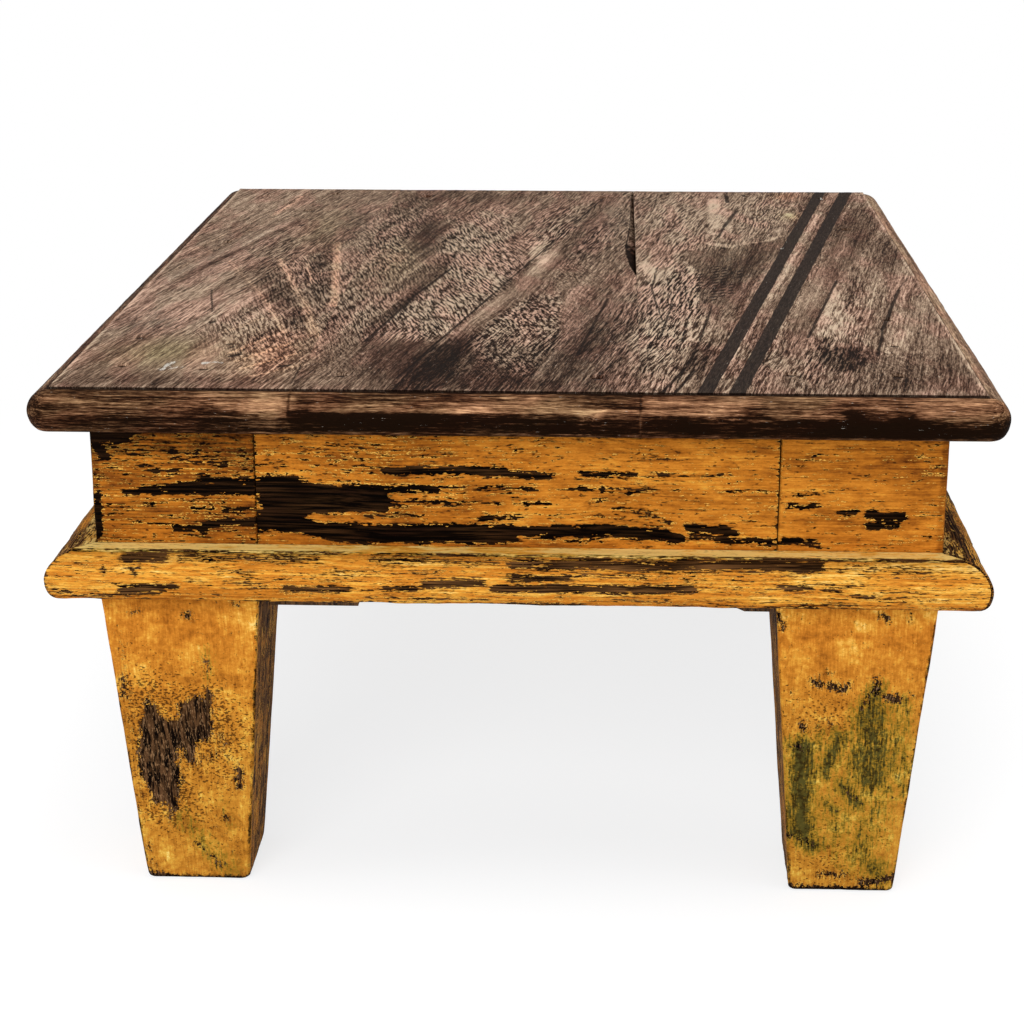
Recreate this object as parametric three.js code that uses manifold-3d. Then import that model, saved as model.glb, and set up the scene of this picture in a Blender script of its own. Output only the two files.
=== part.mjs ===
// Low wooden table on four tapered legs: a top of three old boards with a thumbnail edge, on a framed
// base whose rails are tenoned into the legs, with a mitred moulding round the foot of the apron.
// Millimetres. X runs along the front, Y from front to back, Z up. The origin is on the floor, at the middle.

import * as THREE from "three";
import { mergeVertices } from "three/addons/utils/BufferGeometryUtils.js";
import Module from "manifold-3d";

const wasm = await Module();
wasm.setup();

// Overall
const TABLE_HEIGHT = 234;
const TOP_WIDTH = 400;
const TOP_DEPTH = 500;
const TOP_THICKNESS = 18;
const TOP_OVERHANG = 22; // from the apron's face out to the nose of the top

// Top boards, counted from the left
const LEFT_BOARD_WIDTH = 109;
const CENTRE_BOARD_WIDTH = 142;
const BOARD_JOINT_GAP = 0.4;
const DOWEL_DIAMETER = 8;
const DOWEL_LENGTH = 50;
const DOWEL_FROM_END = 60; // from the nose at the front or the back to a dowel

// Thumbnail edge of the top, measured in from the nose and down from the top face
const EDGE_WIDTH = 10;
const EDGE_QUIRK = 1.2;
const EDGE_OVOLO_DROP = 8.8;
const EDGE_UNDERCUT = 5.5;
const EDGE_CORNER_RADIUS = 7;

// Waney stretch of the centre board, along its joint with the right board
const WANE_DEPTH = 4; // down from the top face
const WANE_WIDTH = 5.5;
const WANE_LENGTH = 240;
const WANE_FROM_BACK = 20; // from the nose at the back to its end
const WANE_BANK = [
  // share of the length from the back, and share of the width there
  [0.02, 0.2],
  [0.26, 0.52],
  [0.45, 0.75],
  [0.62, 1],
  [0.8, 0.45],
  [0.95, 0.1],
];

// Legs: a square post in the apron, and a tapered foot below it
const LEG_SIZE = 69;
const FOOT_SIZE = 46;
const POST_OUTER_ARRIS = 2.5;
const POST_INNER_ARRIS = 0.8;
const FOOT_BEVEL = 2;

// Apron rails
const APRON_SHOW = 53; // height of apron between the top and the moulding
const RAIL_THICKNESS = 22;
const RAIL_BEVEL = 2; // along the lower inner arris
const TENON_THICKNESS = 8;
const TENON_SETBACK = 7; // from the rail's outer face to the tenon
const TENON_LENGTH = 32;
const HAUNCH_LENGTH = 12;
const TENON_TOP_SHOULDER = 16;
const TENON_LOW_SHOULDER = 8;

// Thumbnail moulding round the foot of the apron
const SKIRT_HEIGHT = 21;
const SKIRT_PROJECTION = 18.5;
const SKIRT_LEDGE = 8.5; // flat top next to the apron
const SKIRT_QUIRK = 1.1;
const SKIRT_OVOLO_DROP = 10;
const SKIRT_UNDERCUT = 5.5;
const MITRE_GAP = 0.4;
const OPEN_MITRE_GAP = 1.8; // at the front right corner, where the mitre has opened

// Blocks in the angle of front or back rail and post
const BLOCK_LENGTH = 39;
const BLOCK_THICKNESS = 28;
const BLOCK_HEIGHT = 62;
const BLOCK_HANG = 14.5; // below the rail
const BLOCK_FLAT = 11; // foot of the block that is cut to a slope
const BLOCK_SLOPE_RISE = 12;

// Pegs through the tenons
const PEG_DIAMETER = 6;
const PEG_LENGTH = 34;

// Nails
const NAIL_DIAMETER = 2.8;
const NAIL_HEAD_DIAMETER = 4.4;
const NAIL_HEAD_HEIGHT = 1.2;
const NAIL_POINT = 5;
const NAIL_SUNK = 1.4; // head below the surface
const TOP_NAIL_GRIP = 26; // length in the post or rail
const SKIRT_NAIL_GRIP = 13;
const SKIRT_NAIL_RISE = 13.5; // above the moulding's underside
const FRONT_SKIRT_NAIL_IN = 21; // from the apron's corner
const SIDE_SKIRT_NAIL_IN = 29;
const BOARD_NAIL_MARGIN = 18; // from a board's edge to its nails in the front and back rails

// Where the top is nailed to each corner of the base: in from the apron's side face, and in from its front
// or back face. They were driven by eye, so no two corners are alike.
const TOP_NAILS = {
  front_left: {
    corner: [10.3, 23.4],
    inner: [45.7, 20.2],
    deep: [49, LEG_SIZE - 3.5],
    side: [7.2, LEG_SIZE + 6],
  },
  front_right: {
    corner: [20.5, 18.3],
    inner: [64.5, 19],
    deep: [15.5, LEG_SIZE + 4],
    side: [12, 123],
  },
  back_right: {
    corner: [14.2, 10.8],
    inner: [58.1, 51.8],
    deep: [56.5, LEG_SIZE - 4],
    side: [10, 110],
  },
  back_left: {
    corner: [8, 13],
    inner: [48.8, 4],
    deep: [39.8, LEG_SIZE - 8],
    side: [8, 158],
  },
};

// Clearances of the joints
const SHOULDER_GAP = 0.3;
const SEAT_GAP = 0.3;
const MORTISE_CLEARANCE = 0.3;
const MORTISE_END_CLEARANCE = 0.6;
const PIN_CLEARANCE = 0.3;

// Facets
const ROUND_SEGMENTS = 12;
const CORNER_SEGMENTS = 3;
const MOULD_SEGMENTS = 6;
const WANE_SEGMENTS = 16;

// Planes and places that follow from the sizes
const underTop = TABLE_HEIGHT - TOP_THICKNESS;
const skirtTop = underTop - APRON_SHOW;
const skirtBottom = skirtTop - SKIRT_HEIGHT;
const apronX = TOP_WIDTH / 2 - TOP_OVERHANG;
const apronY = TOP_DEPTH / 2 - TOP_OVERHANG;
const postInnerX = apronX - LEG_SIZE;
const postInnerY = apronY - LEG_SIZE;
const leftJoint = LEFT_BOARD_WIDTH - TOP_WIDTH / 2;
const rightJoint = leftJoint + CENTRE_BOARD_WIDTH;

const TOP_WOOD = { color: 0x4a3b32, roughness: 0.75, metalness: 0 };
const YELLOW_PAINT = { color: 0xd8951f, roughness: 0.6, metalness: 0 };
const BARE_WOOD = { color: 0x5b3f28, roughness: 0.85, metalness: 0 };
const PEG_WOOD = { color: 0x8a6440, roughness: 0.8, metalness: 0 };
const IRON = { color: 0x2b2724, roughness: 0.7, metalness: 0.8 };

/** Turns a closed geometry into a solid for joining and cutting. */
function solidOf(geometry) {
  const bare = geometry.clone();
  bare.deleteAttribute("normal");
  bare.deleteAttribute("uv");
  const merged = mergeVertices(bare, 1e-4);
  return new wasm.Manifold(
    new wasm.Mesh({
      numProp: 3,
      vertProperties: merged.attributes.position.array,
      triVerts: new Uint32Array(merged.index.array),
    }),
  );
}

/** Turns a solid back into a geometry with flat faces. */
function geometryOf(solid) {
  const mesh = solid.getMesh();
  const indexed = new THREE.BufferGeometry();
  indexed.setAttribute("position", new THREE.BufferAttribute(new Float32Array(mesh.vertProperties), 3));
  indexed.setIndex(new THREE.BufferAttribute(new Uint32Array(mesh.triVerts), 1));
  const faceted = indexed.toNonIndexed();
  faceted.computeVertexNormals();
  return faceted;
}

/**
 * Skins a closed body through rings of points that match one to one, and caps its two ends.
 * Each ring runs anticlockwise, seen from the last ring; flatten lays an end ring out for its cap.
 */
function loft(rings, flatten) {
  const count = rings[0].length;
  const positions = rings.flat().flatMap((point) => point.toArray());
  const index = [];
  for (let ring = 0; ring + 1 < rings.length; ring += 1) {
    for (let i = 0; i < count; i += 1) {
      const near = ring * count + i;
      const next = ring * count + ((i + 1) % count);
      index.push(near, next, next + count);
      index.push(near, next + count, near + count);
    }
  }
  const lastStart = (rings.length - 1) * count;
  for (const [a, b, c] of THREE.ShapeUtils.triangulateShape(rings[0].map(flatten), [])) {
    index.push(a, c, b);
    index.push(lastStart + a, lastStart + b, lastStart + c);
  }
  const geometry = new THREE.BufferGeometry();
  geometry.setAttribute("position", new THREE.Float32BufferAttribute(positions, 3));
  geometry.setIndex(index);
  return solidOf(geometry);
}

const fromAbove = (point) => new THREE.Vector2(point.x, point.y);

/** A level rectangle, anticlockwise, whose corners have the radii given for (-,-), (+,-), (+,+), (-,+). */
function roundedRectangle(x0, x1, y0, y1, z, radii) {
  const corners = [
    [x0, y0, 1, 1],
    [x1, y0, -1, 1],
    [x1, y1, -1, -1],
    [x0, y1, 1, -1],
  ];
  return corners.flatMap(([x, y, inX, inY], corner) => {
    const radius = radii[corner];
    const start = Math.PI + (corner * Math.PI) / 2;
    return Array.from({ length: CORNER_SEGMENTS + 1 }, (_, step) => {
      const angle = start + ((Math.PI / 2) * step) / CORNER_SEGMENTS;
      const centreX = x + inX * radius;
      const centreY = y + inY * radius;
      return new THREE.Vector3(centreX + radius * Math.cos(angle), centreY + radius * Math.sin(angle), z);
    });
  });
}

/** A box between two corners. */
function block(x0, x1, y0, y1, z0, z1) {
  const box = new THREE.BoxGeometry(x1 - x0, y1 - y0, z1 - z0);
  box.translate((x0 + x1) / 2, (y0 + y1) / 2, (z0 + z1) / 2);
  return solidOf(box);
}

/** A body of revolution on the Z axis, whose profile of [radius, height] starts and ends on the axis. */
function turned(profile) {
  const lathe = new THREE.LatheGeometry(
    profile.map(([radius, height]) => new THREE.Vector2(radius, height)),
    ROUND_SEGMENTS,
  );
  return lathe.rotateX(Math.PI / 2);
}

/** The mould curve of an edge: quirk, ovolo out to the nose, and the round back under it, as [in, down]. */
function thumbnail(width, quirk, ovoloDrop, undercut, height) {
  const curve = [
    [width, 0],
    [width, quirk],
  ];
  const underDrop = height - quirk - ovoloDrop;
  for (let step = 1; step <= MOULD_SEGMENTS; step += 1) {
    const angle = ((Math.PI / 2) * step) / MOULD_SEGMENTS;
    curve.push([width * (1 - Math.sin(angle)), quirk + ovoloDrop * (1 - Math.cos(angle))]);
  }
  for (let step = 1; step <= MOULD_SEGMENTS; step += 1) {
    const angle = ((Math.PI / 2) * step) / MOULD_SEGMENTS;
    curve.push([undercut * (1 - Math.cos(angle)), quirk + ovoloDrop + underDrop * Math.sin(angle)]);
  }
  return curve;
}

/** The whole top before it is parted into boards, with its moulded edge run round all four sides. */
function mouldedTop() {
  const curve = thumbnail(EDGE_WIDTH, EDGE_QUIRK, EDGE_OVOLO_DROP, EDGE_UNDERCUT, TOP_THICKNESS);
  const rings = curve.reverse().map(([inward, down]) => {
    const x = TOP_WIDTH / 2 - inward;
    const y = TOP_DEPTH / 2 - inward;
    const radius = Math.max(EDGE_CORNER_RADIUS - inward, 1);
    return roundedRectangle(-x, x, -y, y, TABLE_HEIGHT - down, [radius, radius, radius, radius]);
  });
  return loft(rings, fromAbove);
}

/** The hollow of the waney stretch: a long wavering curve beside the joint, open at the top face. */
function waneHollow() {
  const back = TOP_DEPTH / 2 - WANE_FROM_BACK;
  const reach = rightJoint + BOARD_JOINT_GAP;
  const bank = WANE_BANK.map(
    ([along, across]) => new THREE.Vector2(rightJoint - across * WANE_WIDTH, back - along * WANE_LENGTH),
  );
  const outline = new THREE.Shape();
  outline.moveTo(reach, back);
  outline.splineThru([...bank, new THREE.Vector2(reach, back - WANE_LENGTH)]);
  const hollow = new THREE.ExtrudeGeometry(outline, {
    depth: 2 * WANE_DEPTH,
    bevelEnabled: false,
    curveSegments: WANE_SEGMENTS,
  });
  hollow.translate(0, 0, TABLE_HEIGHT - WANE_DEPTH);
  return solidOf(hollow);
}

/** A leg round its own axis, its outer arris towards -X and -Y: a post, tapering from the moulding down. */
function legShape() {
  const radii = [POST_OUTER_ARRIS, POST_INNER_ARRIS, POST_INNER_ARRIS, POST_INNER_ARRIS];
  const section = (size, z) => roundedRectangle(-size / 2, size / 2, -size / 2, size / 2, z, radii);
  return loft(
    [
      section(FOOT_SIZE - 2 * FOOT_BEVEL, 0),
      section(FOOT_SIZE, FOOT_BEVEL),
      section(LEG_SIZE, skirtBottom),
      section(LEG_SIZE, underTop),
    ],
    fromAbove,
  );
}

/** Turns a profile drawn in (Y, Z) and drawn out along the third axis, so that it runs along X. */
const alongX = new THREE.Matrix4().set(0, 0, 1, 0, 1, 0, 0, 0, 0, 1, 0, 0, 0, 0, 0, 1);

/** An outline in (Y, Z) carried along X from x0 to x1. */
function carriedAlongX(outline, x0, x1) {
  const bar = new THREE.ExtrudeGeometry(outline, { depth: x1 - x0, bevelEnabled: false });
  bar.applyMatrix4(alongX);
  bar.translate(x0, 0, 0);
  return solidOf(bar);
}

/** An outline in (X, Z) with a thickness along Y, from y0 to y1. */
function carriedAlongY(outline, y0, y1) {
  const plate = new THREE.ExtrudeGeometry(outline, { depth: y1 - y0, bevelEnabled: false });
  plate.rotateX(Math.PI / 2);
  plate.translate(0, y1, 0);
  return solidOf(plate);
}

// The four sides of the base. A side's pieces are drawn as those of the front, whose outer face looks
// along -Y, and its group turns them to their place. half is the apron's half length on that side, face
// the distance of its outer face, and inner where the posts' inner faces stand.
const SIDES = [
  { name: "front", turn: 0, half: apronX, face: apronY, inner: postInnerX, nailIn: FRONT_SKIRT_NAIL_IN },
  { name: "right", turn: 1, half: apronY, face: apronX, inner: postInnerY, nailIn: SIDE_SKIRT_NAIL_IN },
  { name: "back", turn: 2, half: apronX, face: apronY, inner: postInnerX, nailIn: FRONT_SKIRT_NAIL_IN },
  { name: "left", turn: 3, half: apronY, face: apronX, inner: postInnerY, nailIn: SIDE_SKIRT_NAIL_IN },
];

// The corners in the same order: each stands at the left end of its side, seen from outside.
const CORNERS = [
  { name: "front_left", x: -1, y: -1 },
  { name: "front_right", x: 1, y: -1 },
  { name: "back_right", x: 1, y: 1 },
  { name: "back_left", x: -1, y: 1 },
];

/** The layer of a rail that makes its two haunched tenons, or with a clearance the mortises for them. */
function tenonLayer(side, clearance, endClearance) {
  const low = skirtBottom + TENON_LOW_SHOULDER - clearance;
  const high = underTop - TENON_TOP_SHOULDER + clearance;
  const tip = side.inner + TENON_LENGTH + endClearance;
  const haunch = side.inner + HAUNCH_LENGTH + endClearance;
  const outline = new THREE.Shape();
  outline.moveTo(-tip, low);
  outline.lineTo(tip, low);
  outline.lineTo(tip, high);
  outline.lineTo(haunch, high);
  outline.lineTo(haunch, underTop);
  outline.lineTo(-haunch, underTop);
  outline.lineTo(-haunch, high);
  outline.lineTo(-tip, high);
  outline.closePath();
  const outer = TENON_SETBACK - side.face;
  return carriedAlongY(outline, outer - clearance, outer + TENON_THICKNESS + clearance);
}

/** A rail: its board between the shoulders, with the lower inner arris planed off, and its tenons. */
function rail(side) {
  const section = new THREE.Shape();
  section.moveTo(-side.face, skirtBottom);
  section.lineTo(RAIL_THICKNESS - side.face - RAIL_BEVEL, skirtBottom);
  section.lineTo(RAIL_THICKNESS - side.face, skirtBottom + RAIL_BEVEL);
  section.lineTo(RAIL_THICKNESS - side.face, underTop);
  section.lineTo(-side.face, underTop);
  section.closePath();
  const shoulder = side.inner - SHOULDER_GAP;
  return carriedAlongX(section, -shoulder, shoulder).add(tenonLayer(side, 0, 0));
}

/** How far the moulding stands out from the apron's face at a height above its underside. */
function skirtOut(height) {
  const ovoloTop = SKIRT_HEIGHT - SKIRT_QUIRK;
  const cosine = 1 - (ovoloTop - height) / SKIRT_OVOLO_DROP;
  return SKIRT_LEDGE + (SKIRT_PROJECTION - SKIRT_LEDGE) * Math.sqrt(1 - cosine * cosine);
}

/** A length of the moulding, whose two ends are cut at 45 degrees to meet the next lengths. */
function skirt(side) {
  const edge = SKIRT_PROJECTION - SKIRT_LEDGE;
  const curve = thumbnail(edge, SKIRT_QUIRK, SKIRT_OVOLO_DROP, SKIRT_UNDERCUT, SKIRT_HEIGHT);
  const section = [
    [SEAT_GAP, 0],
    ...curve.map(([inward, down]) => [SKIRT_PROJECTION - inward, down]),
    [SEAT_GAP, SKIRT_HEIGHT],
  ];
  const back = (gap) => gap / Math.SQRT2;
  const rightGap = side.name === "front" ? OPEN_MITRE_GAP : MITRE_GAP;
  const ring = (sign, gap) =>
    section.map(([out, down]) => {
      const mitred = sign * (side.half + out - back(gap));
      return new THREE.Vector3(mitred, -side.face - out, skirtTop - down);
    });
  return loft([ring(-1, MITRE_GAP), ring(1, rightGap)], (point) => new THREE.Vector2(point.y, point.z));
}

/** The block in the angle of rail and post, cut square at the rail's left end and to a slope at its right. */
function cornerBlock(side, end) {
  const low = skirtBottom - BLOCK_HANG;
  const x = (along) => end * (side.inner - SEAT_GAP - along);
  const outline = new THREE.Shape();
  outline.moveTo(x(0), low);
  if (end > 0) {
    outline.lineTo(x(BLOCK_FLAT), low);
    outline.lineTo(x(BLOCK_LENGTH), low + BLOCK_SLOPE_RISE);
  } else {
    outline.lineTo(x(BLOCK_LENGTH), low);
  }
  outline.lineTo(x(BLOCK_LENGTH), low + BLOCK_HEIGHT);
  outline.lineTo(x(0), low + BLOCK_HEIGHT);
  outline.closePath();
  const seat = RAIL_THICKNESS - side.face + SEAT_GAP;
  return carriedAlongY(outline, seat, seat + BLOCK_THICKNESS);
}

/** A plain round pin along +Z, and the hole that it is driven into. */
function roundPin(diameter, length) {
  const shape = (clearance) => [
    [0, -clearance],
    [diameter / 2 + clearance, -clearance],
    [diameter / 2 + clearance, length + clearance],
    [0, length + clearance],
  ];
  return { body: turned(shape(0)), hole: turned(shape(PIN_CLEARANCE)), finish: PEG_WOOD };
}

/** A nail driven along +Z from its head at the origin, and the hole that it leaves, open to the surface. */
function nail(length) {
  const shape = (clearance, top) => [
    [0, top],
    [NAIL_HEAD_DIAMETER / 2 + clearance, top],
    [NAIL_HEAD_DIAMETER / 2 + clearance, NAIL_HEAD_HEIGHT + clearance],
    [NAIL_DIAMETER / 2 + clearance, NAIL_HEAD_HEIGHT + clearance],
    [NAIL_DIAMETER / 2 + clearance, length - NAIL_POINT],
    [0, length + clearance],
  ];
  const mouth = -NAIL_SUNK - NAIL_HEAD_DIAMETER;
  return { body: turned(shape(0, 0)), hole: turned(shape(PIN_CLEARANCE, mouth)), finish: IRON };
}

const wooden = []; // meshes that the pins are driven into
const pins = []; // { mesh, hole }

/** Adds a wooden piece, made in the frame of its group. */
function addWood(group, name, solid, finish) {
  const mesh = new THREE.Mesh(geometryOf(solid), new THREE.MeshStandardMaterial(finish));
  mesh.name = name;
  group.add(mesh);
  wooden.push(mesh);
  return mesh;
}

/** Adds a pin of a kind, from a point of its group along a direction. */
function addPin(group, name, kind, start, direction) {
  const mesh = new THREE.Mesh(kind.body, new THREE.MeshStandardMaterial(kind.finish));
  mesh.name = name;
  mesh.position.copy(start);
  mesh.quaternion.setFromUnitVectors(new THREE.Vector3(0, 0, 1), direction);
  group.add(mesh);
  pins.push({ mesh, hole: kind.hole });
}

/** A mesh's geometry, or another one in the mesh's place, as a solid in the table's frame. */
function placedSolid(mesh, geometry = mesh.geometry) {
  return solidOf(geometry.clone().applyMatrix4(mesh.matrixWorld));
}

/** Whether the boxes round two solids meet. */
function boxesMeet(a, b) {
  const first = a.boundingBox();
  const second = b.boundingBox();
  const overlaps = (axis) => first.min[axis] <= second.max[axis] && second.min[axis] <= first.max[axis];
  return [0, 1, 2].every(overlaps);
}

/** Cuts the solids that reach a placed mesh out of it. */
function cutFrom(mesh, cutters) {
  const whole = placedSolid(mesh);
  const reaching = cutters.filter((cutter) => boxesMeet(whole, cutter));
  const rest = reaching.reduce((kept, cutter) => kept.subtract(cutter), whole);
  mesh.geometry = geometryOf(rest).applyMatrix4(mesh.matrixWorld.clone().invert());
}

/** The three boards, the dowels between them and the nails that hold them down. */
function makeTop() {
  const group = new THREE.Group();
  const whole = mouldedTop();
  const board = (x0, x1) =>
    whole.intersect(block(x0, x1, -TOP_DEPTH, TOP_DEPTH, 0, TABLE_HEIGHT + TOP_THICKNESS));
  const halfGap = BOARD_JOINT_GAP / 2;
  const centre = board(leftJoint + halfGap, rightJoint - halfGap).subtract(waneHollow());
  addWood(group, "top_board_left", board(-TOP_WIDTH, leftJoint - halfGap), TOP_WOOD);
  addWood(group, "top_board_centre", centre, TOP_WOOD);
  addWood(group, "top_board_right", board(rightJoint + halfGap, TOP_WIDTH), TOP_WOOD);

  const dowel = roundPin(DOWEL_DIAMETER, DOWEL_LENGTH);
  const across = new THREE.Vector3(1, 0, 0);
  const topNail = nail(TOP_THICKNESS - NAIL_SUNK + TOP_NAIL_GRIP);
  const down = new THREE.Vector3(0, 0, -1);
  const driveDown = (name, x, y) =>
    addPin(group, `top_nail_${name}`, topNail, new THREE.Vector3(x, y, TABLE_HEIGHT - NAIL_SUNK), down);
  for (const [end, sign] of [["front", -1], ["back", 1]]) {
    const dowelY = sign * (TOP_DEPTH / 2 - DOWEL_FROM_END);
    for (const [joint, x] of [["left", leftJoint], ["right", rightJoint]]) {
      const start = new THREE.Vector3(x - DOWEL_LENGTH / 2, dowelY, underTop + TOP_THICKNESS / 2);
      addPin(group, `top_dowel_${end}_${joint}`, dowel, start, across);
    }
    const nailY = sign * (apronY - RAIL_THICKNESS / 2);
    driveDown(`${end}_centre_left`, leftJoint + BOARD_NAIL_MARGIN, nailY);
    driveDown(`${end}_centre_right`, rightJoint - BOARD_NAIL_MARGIN, nailY);
  }
  for (const corner of CORNERS) {
    for (const [role, [inX, inY]] of Object.entries(TOP_NAILS[corner.name])) {
      driveDown(`${corner.name}_${role}`, corner.x * (apronX - inX), corner.y * (apronY - inY));
    }
  }
  return group;
}

/** One side of the base: rail, moulding, the blocks behind a front or back rail, pegs and nails. */
function makeSide(side, leftCorner, rightCorner) {
  const group = new THREE.Group();
  group.rotation.z = (side.turn * Math.PI) / 2;
  addWood(group, `rail_${side.name}`, rail(side), YELLOW_PAINT);
  addWood(group, `skirt_${side.name}`, skirt(side), YELLOW_PAINT);

  const inward = new THREE.Vector3(0, 1, 0);
  const peg = roundPin(PEG_DIAMETER, PEG_LENGTH);
  const pegZ = (skirtBottom + TENON_LOW_SHOULDER + underTop - TENON_TOP_SHOULDER) / 2;
  const nailOut = skirtOut(SKIRT_NAIL_RISE) - NAIL_SUNK;
  const skirtNail = nail(nailOut + SKIRT_NAIL_GRIP);
  for (const [end, corner] of [[-1, leftCorner], [1, rightCorner]]) {
    const pegX = end * (side.inner + TENON_LENGTH / 2);
    const pegStart = new THREE.Vector3(pegX, PIN_CLEARANCE - side.face, pegZ);
    addPin(group, `peg_${side.name}_at_${corner.name}`, peg, pegStart, inward);
    const nailZ = skirtBottom + SKIRT_NAIL_RISE;
    const nailStart = new THREE.Vector3(end * (side.half - side.nailIn), -side.face - nailOut, nailZ);
    addPin(group, `skirt_nail_${side.name}_at_${corner.name}`, skirtNail, nailStart, inward);
    if (side.turn % 2 === 0) {
      addWood(group, `block_${corner.name}`, cornerBlock(side, end), BARE_WOOD);
    }
  }
  return group;
}

/** The four legs, each turned so that its outer arris stands at the corner of the base. */
function makeLegs() {
  const group = new THREE.Group();
  CORNERS.forEach((corner, turn) => {
    const mesh = addWood(group, `leg_${corner.name}`, legShape(), YELLOW_PAINT);
    mesh.position.set(corner.x * (apronX - LEG_SIZE / 2), corner.y * (apronY - LEG_SIZE / 2), 0);
    mesh.rotation.z = (turn * Math.PI) / 2;
  });
  return group;
}

const table = new THREE.Group();
const base = new THREE.Group();
const legs = makeLegs();
const sides = SIDES.map((side, i) => makeSide(side, CORNERS[i], CORNERS[(i + 1) % CORNERS.length]));
base.add(legs, ...sides);
table.add(makeTop(), base);
table.updateMatrixWorld(true);

const mortises = SIDES.map((side) =>
  tenonLayer(side, MORTISE_CLEARANCE, MORTISE_END_CLEARANCE).rotate([0, 0, 90 * side.turn]),
);
legs.children.forEach((leg) => cutFrom(leg, mortises));
const holes = pins.map((pin) => placedSolid(pin.mesh, pin.hole));
wooden.forEach((piece) => cutFrom(piece, holes));

export default table;
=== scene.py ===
"""Looks of a low wooden riser: a moulded top of three boards on a painted, pegged frame with tapered legs.

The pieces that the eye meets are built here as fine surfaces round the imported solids. Places on the object
are in millimetres, with +X along the front, +Y from front to back and +Z up from the floor.
"""

import functools
import logging
import math
from abc import ABC, abstractmethod
from dataclasses import dataclass, field
from enum import Enum

import bmesh
import bpy
import numpy as np
from mathutils import Matrix, Vector


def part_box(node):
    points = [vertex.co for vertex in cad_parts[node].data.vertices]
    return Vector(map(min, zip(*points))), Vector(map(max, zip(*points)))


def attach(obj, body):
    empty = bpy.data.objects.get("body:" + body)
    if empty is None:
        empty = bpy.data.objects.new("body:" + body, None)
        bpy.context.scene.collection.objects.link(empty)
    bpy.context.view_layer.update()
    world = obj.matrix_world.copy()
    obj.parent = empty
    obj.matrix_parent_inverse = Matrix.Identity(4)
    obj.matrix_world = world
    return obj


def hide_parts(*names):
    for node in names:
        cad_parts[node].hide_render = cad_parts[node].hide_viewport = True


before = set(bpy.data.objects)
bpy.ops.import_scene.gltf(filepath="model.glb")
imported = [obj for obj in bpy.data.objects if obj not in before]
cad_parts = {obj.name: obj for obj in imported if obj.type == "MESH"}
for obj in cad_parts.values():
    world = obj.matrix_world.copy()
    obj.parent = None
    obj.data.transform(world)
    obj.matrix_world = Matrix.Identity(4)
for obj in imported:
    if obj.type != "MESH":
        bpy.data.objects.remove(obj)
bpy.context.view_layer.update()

MM = 0.001
LOG = logging.getLogger("riser")
Socket = bpy.types.NodeSocket


def plane(node: str, end: int, axis: int) -> float:
    """A side of a solid's box in mm, to 0.1; end 0 is the lower one, and axis counts x, y, z."""
    return round(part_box(node)[end][axis] / MM, 1)


# Planes of the object, in mm, read off the solids
TABLE_HEIGHT = plane("top_board_left", 1, 2)
UNDER_TOP = plane("top_board_left", 0, 2)
HALF_WIDTH = plane("top_board_right", 1, 0)
HALF_DEPTH = plane("top_board_right", 1, 1)
LEFT_JOINT = (plane("top_board_left", 1, 0) + plane("top_board_centre", 0, 0)) / 2
RIGHT_JOINT = (plane("top_board_centre", 1, 0) + plane("top_board_right", 0, 0)) / 2
APRON_X = plane("leg_front_right", 1, 0)
APRON_Y = plane("leg_back_right", 1, 1)
LEG_SIZE = APRON_X - plane("leg_front_right", 0, 0)
RAIL_THICKNESS = plane("rail_front", 1, 1) + APRON_Y
SKIRT_TOP = plane("skirt_front", 1, 2)
SKIRT_BOTTOM = plane("skirt_front", 0, 2)
SKIRT_PROJECTION = -plane("skirt_front", 0, 1) - APRON_Y
# Side of the foot, to which the leg tapers, as in the solids
FOOT_SIZE = 46.0


def linear(code: str) -> tuple[float, float, float, float]:
    """An sRGB hex colour as linear RGBA.

    Args:
        code: six hex digits after a hash sign.

    Returns:
        The four channels, alpha 1.
    """
    channels = [int(code[i : i + 2], 16) / 255 for i in (1, 3, 5)]
    red, green, blue = (c / 12.92 if c <= 0.04045 else ((c + 0.055) / 1.055) ** 2.4 for c in channels)
    return red, green, blue, 1.0


def smoothstep(low: float, high: float, value: np.ndarray) -> np.ndarray:
    """3t^2 - 2t^3 with t = (value - low) / (high - low), held between 0 and 1."""
    t = np.clip((value - low) / (high - low), 0.0, 1.0)
    return t * t * (3 - 2 * t)


def share_between(value: np.ndarray, low: float, high: float) -> np.ndarray:
    """1 where low < value < high, falling off smoothly over 0.3 outside."""
    return smoothstep(low - 0.3, low, value) * (1 - smoothstep(high, high + 0.3, value))


class Noise:
    """Seeded value noise on a plane: random values on a unit lattice, blended by 3t^2 - 2t^3."""

    SIZE = 128

    def __init__(self, seed: int) -> None:
        """Draws the lattice's values."""
        self.lattice = np.random.default_rng(seed).random((self.SIZE, self.SIZE))

    def at(self, u: np.ndarray, v: np.ndarray) -> np.ndarray:
        """One layer of noise.

        Args:
            u: places along the lattice, one value to a step.
            v: places across it.

        Returns:
            Values between -1 and 1.
        """
        u0, v0 = np.floor(u).astype(int), np.floor(v).astype(int)
        s, t = smoothstep(0, 1, u - u0), smoothstep(0, 1, v - v0)
        a, b = u0 % self.SIZE, v0 % self.SIZE
        c, d = (a + 1) % self.SIZE, (b + 1) % self.SIZE
        near = self.lattice[a, b] * (1 - s) + self.lattice[c, b] * s
        far = self.lattice[a, d] * (1 - s) + self.lattice[c, d] * s
        return 2 * (near * (1 - t) + far * t) - 1

    def layered(self, u: np.ndarray, v: np.ndarray, layers: int = 3) -> np.ndarray:
        """The sum of layers n of at(2^n u, 2^n v) / 2^n, brought back to about -1 to 1."""
        total = sum(self.at(u * 2**n + 17 * n, v * 2**n + 31 * n) / 2**n for n in range(layers))
        return total / 1.6


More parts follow.
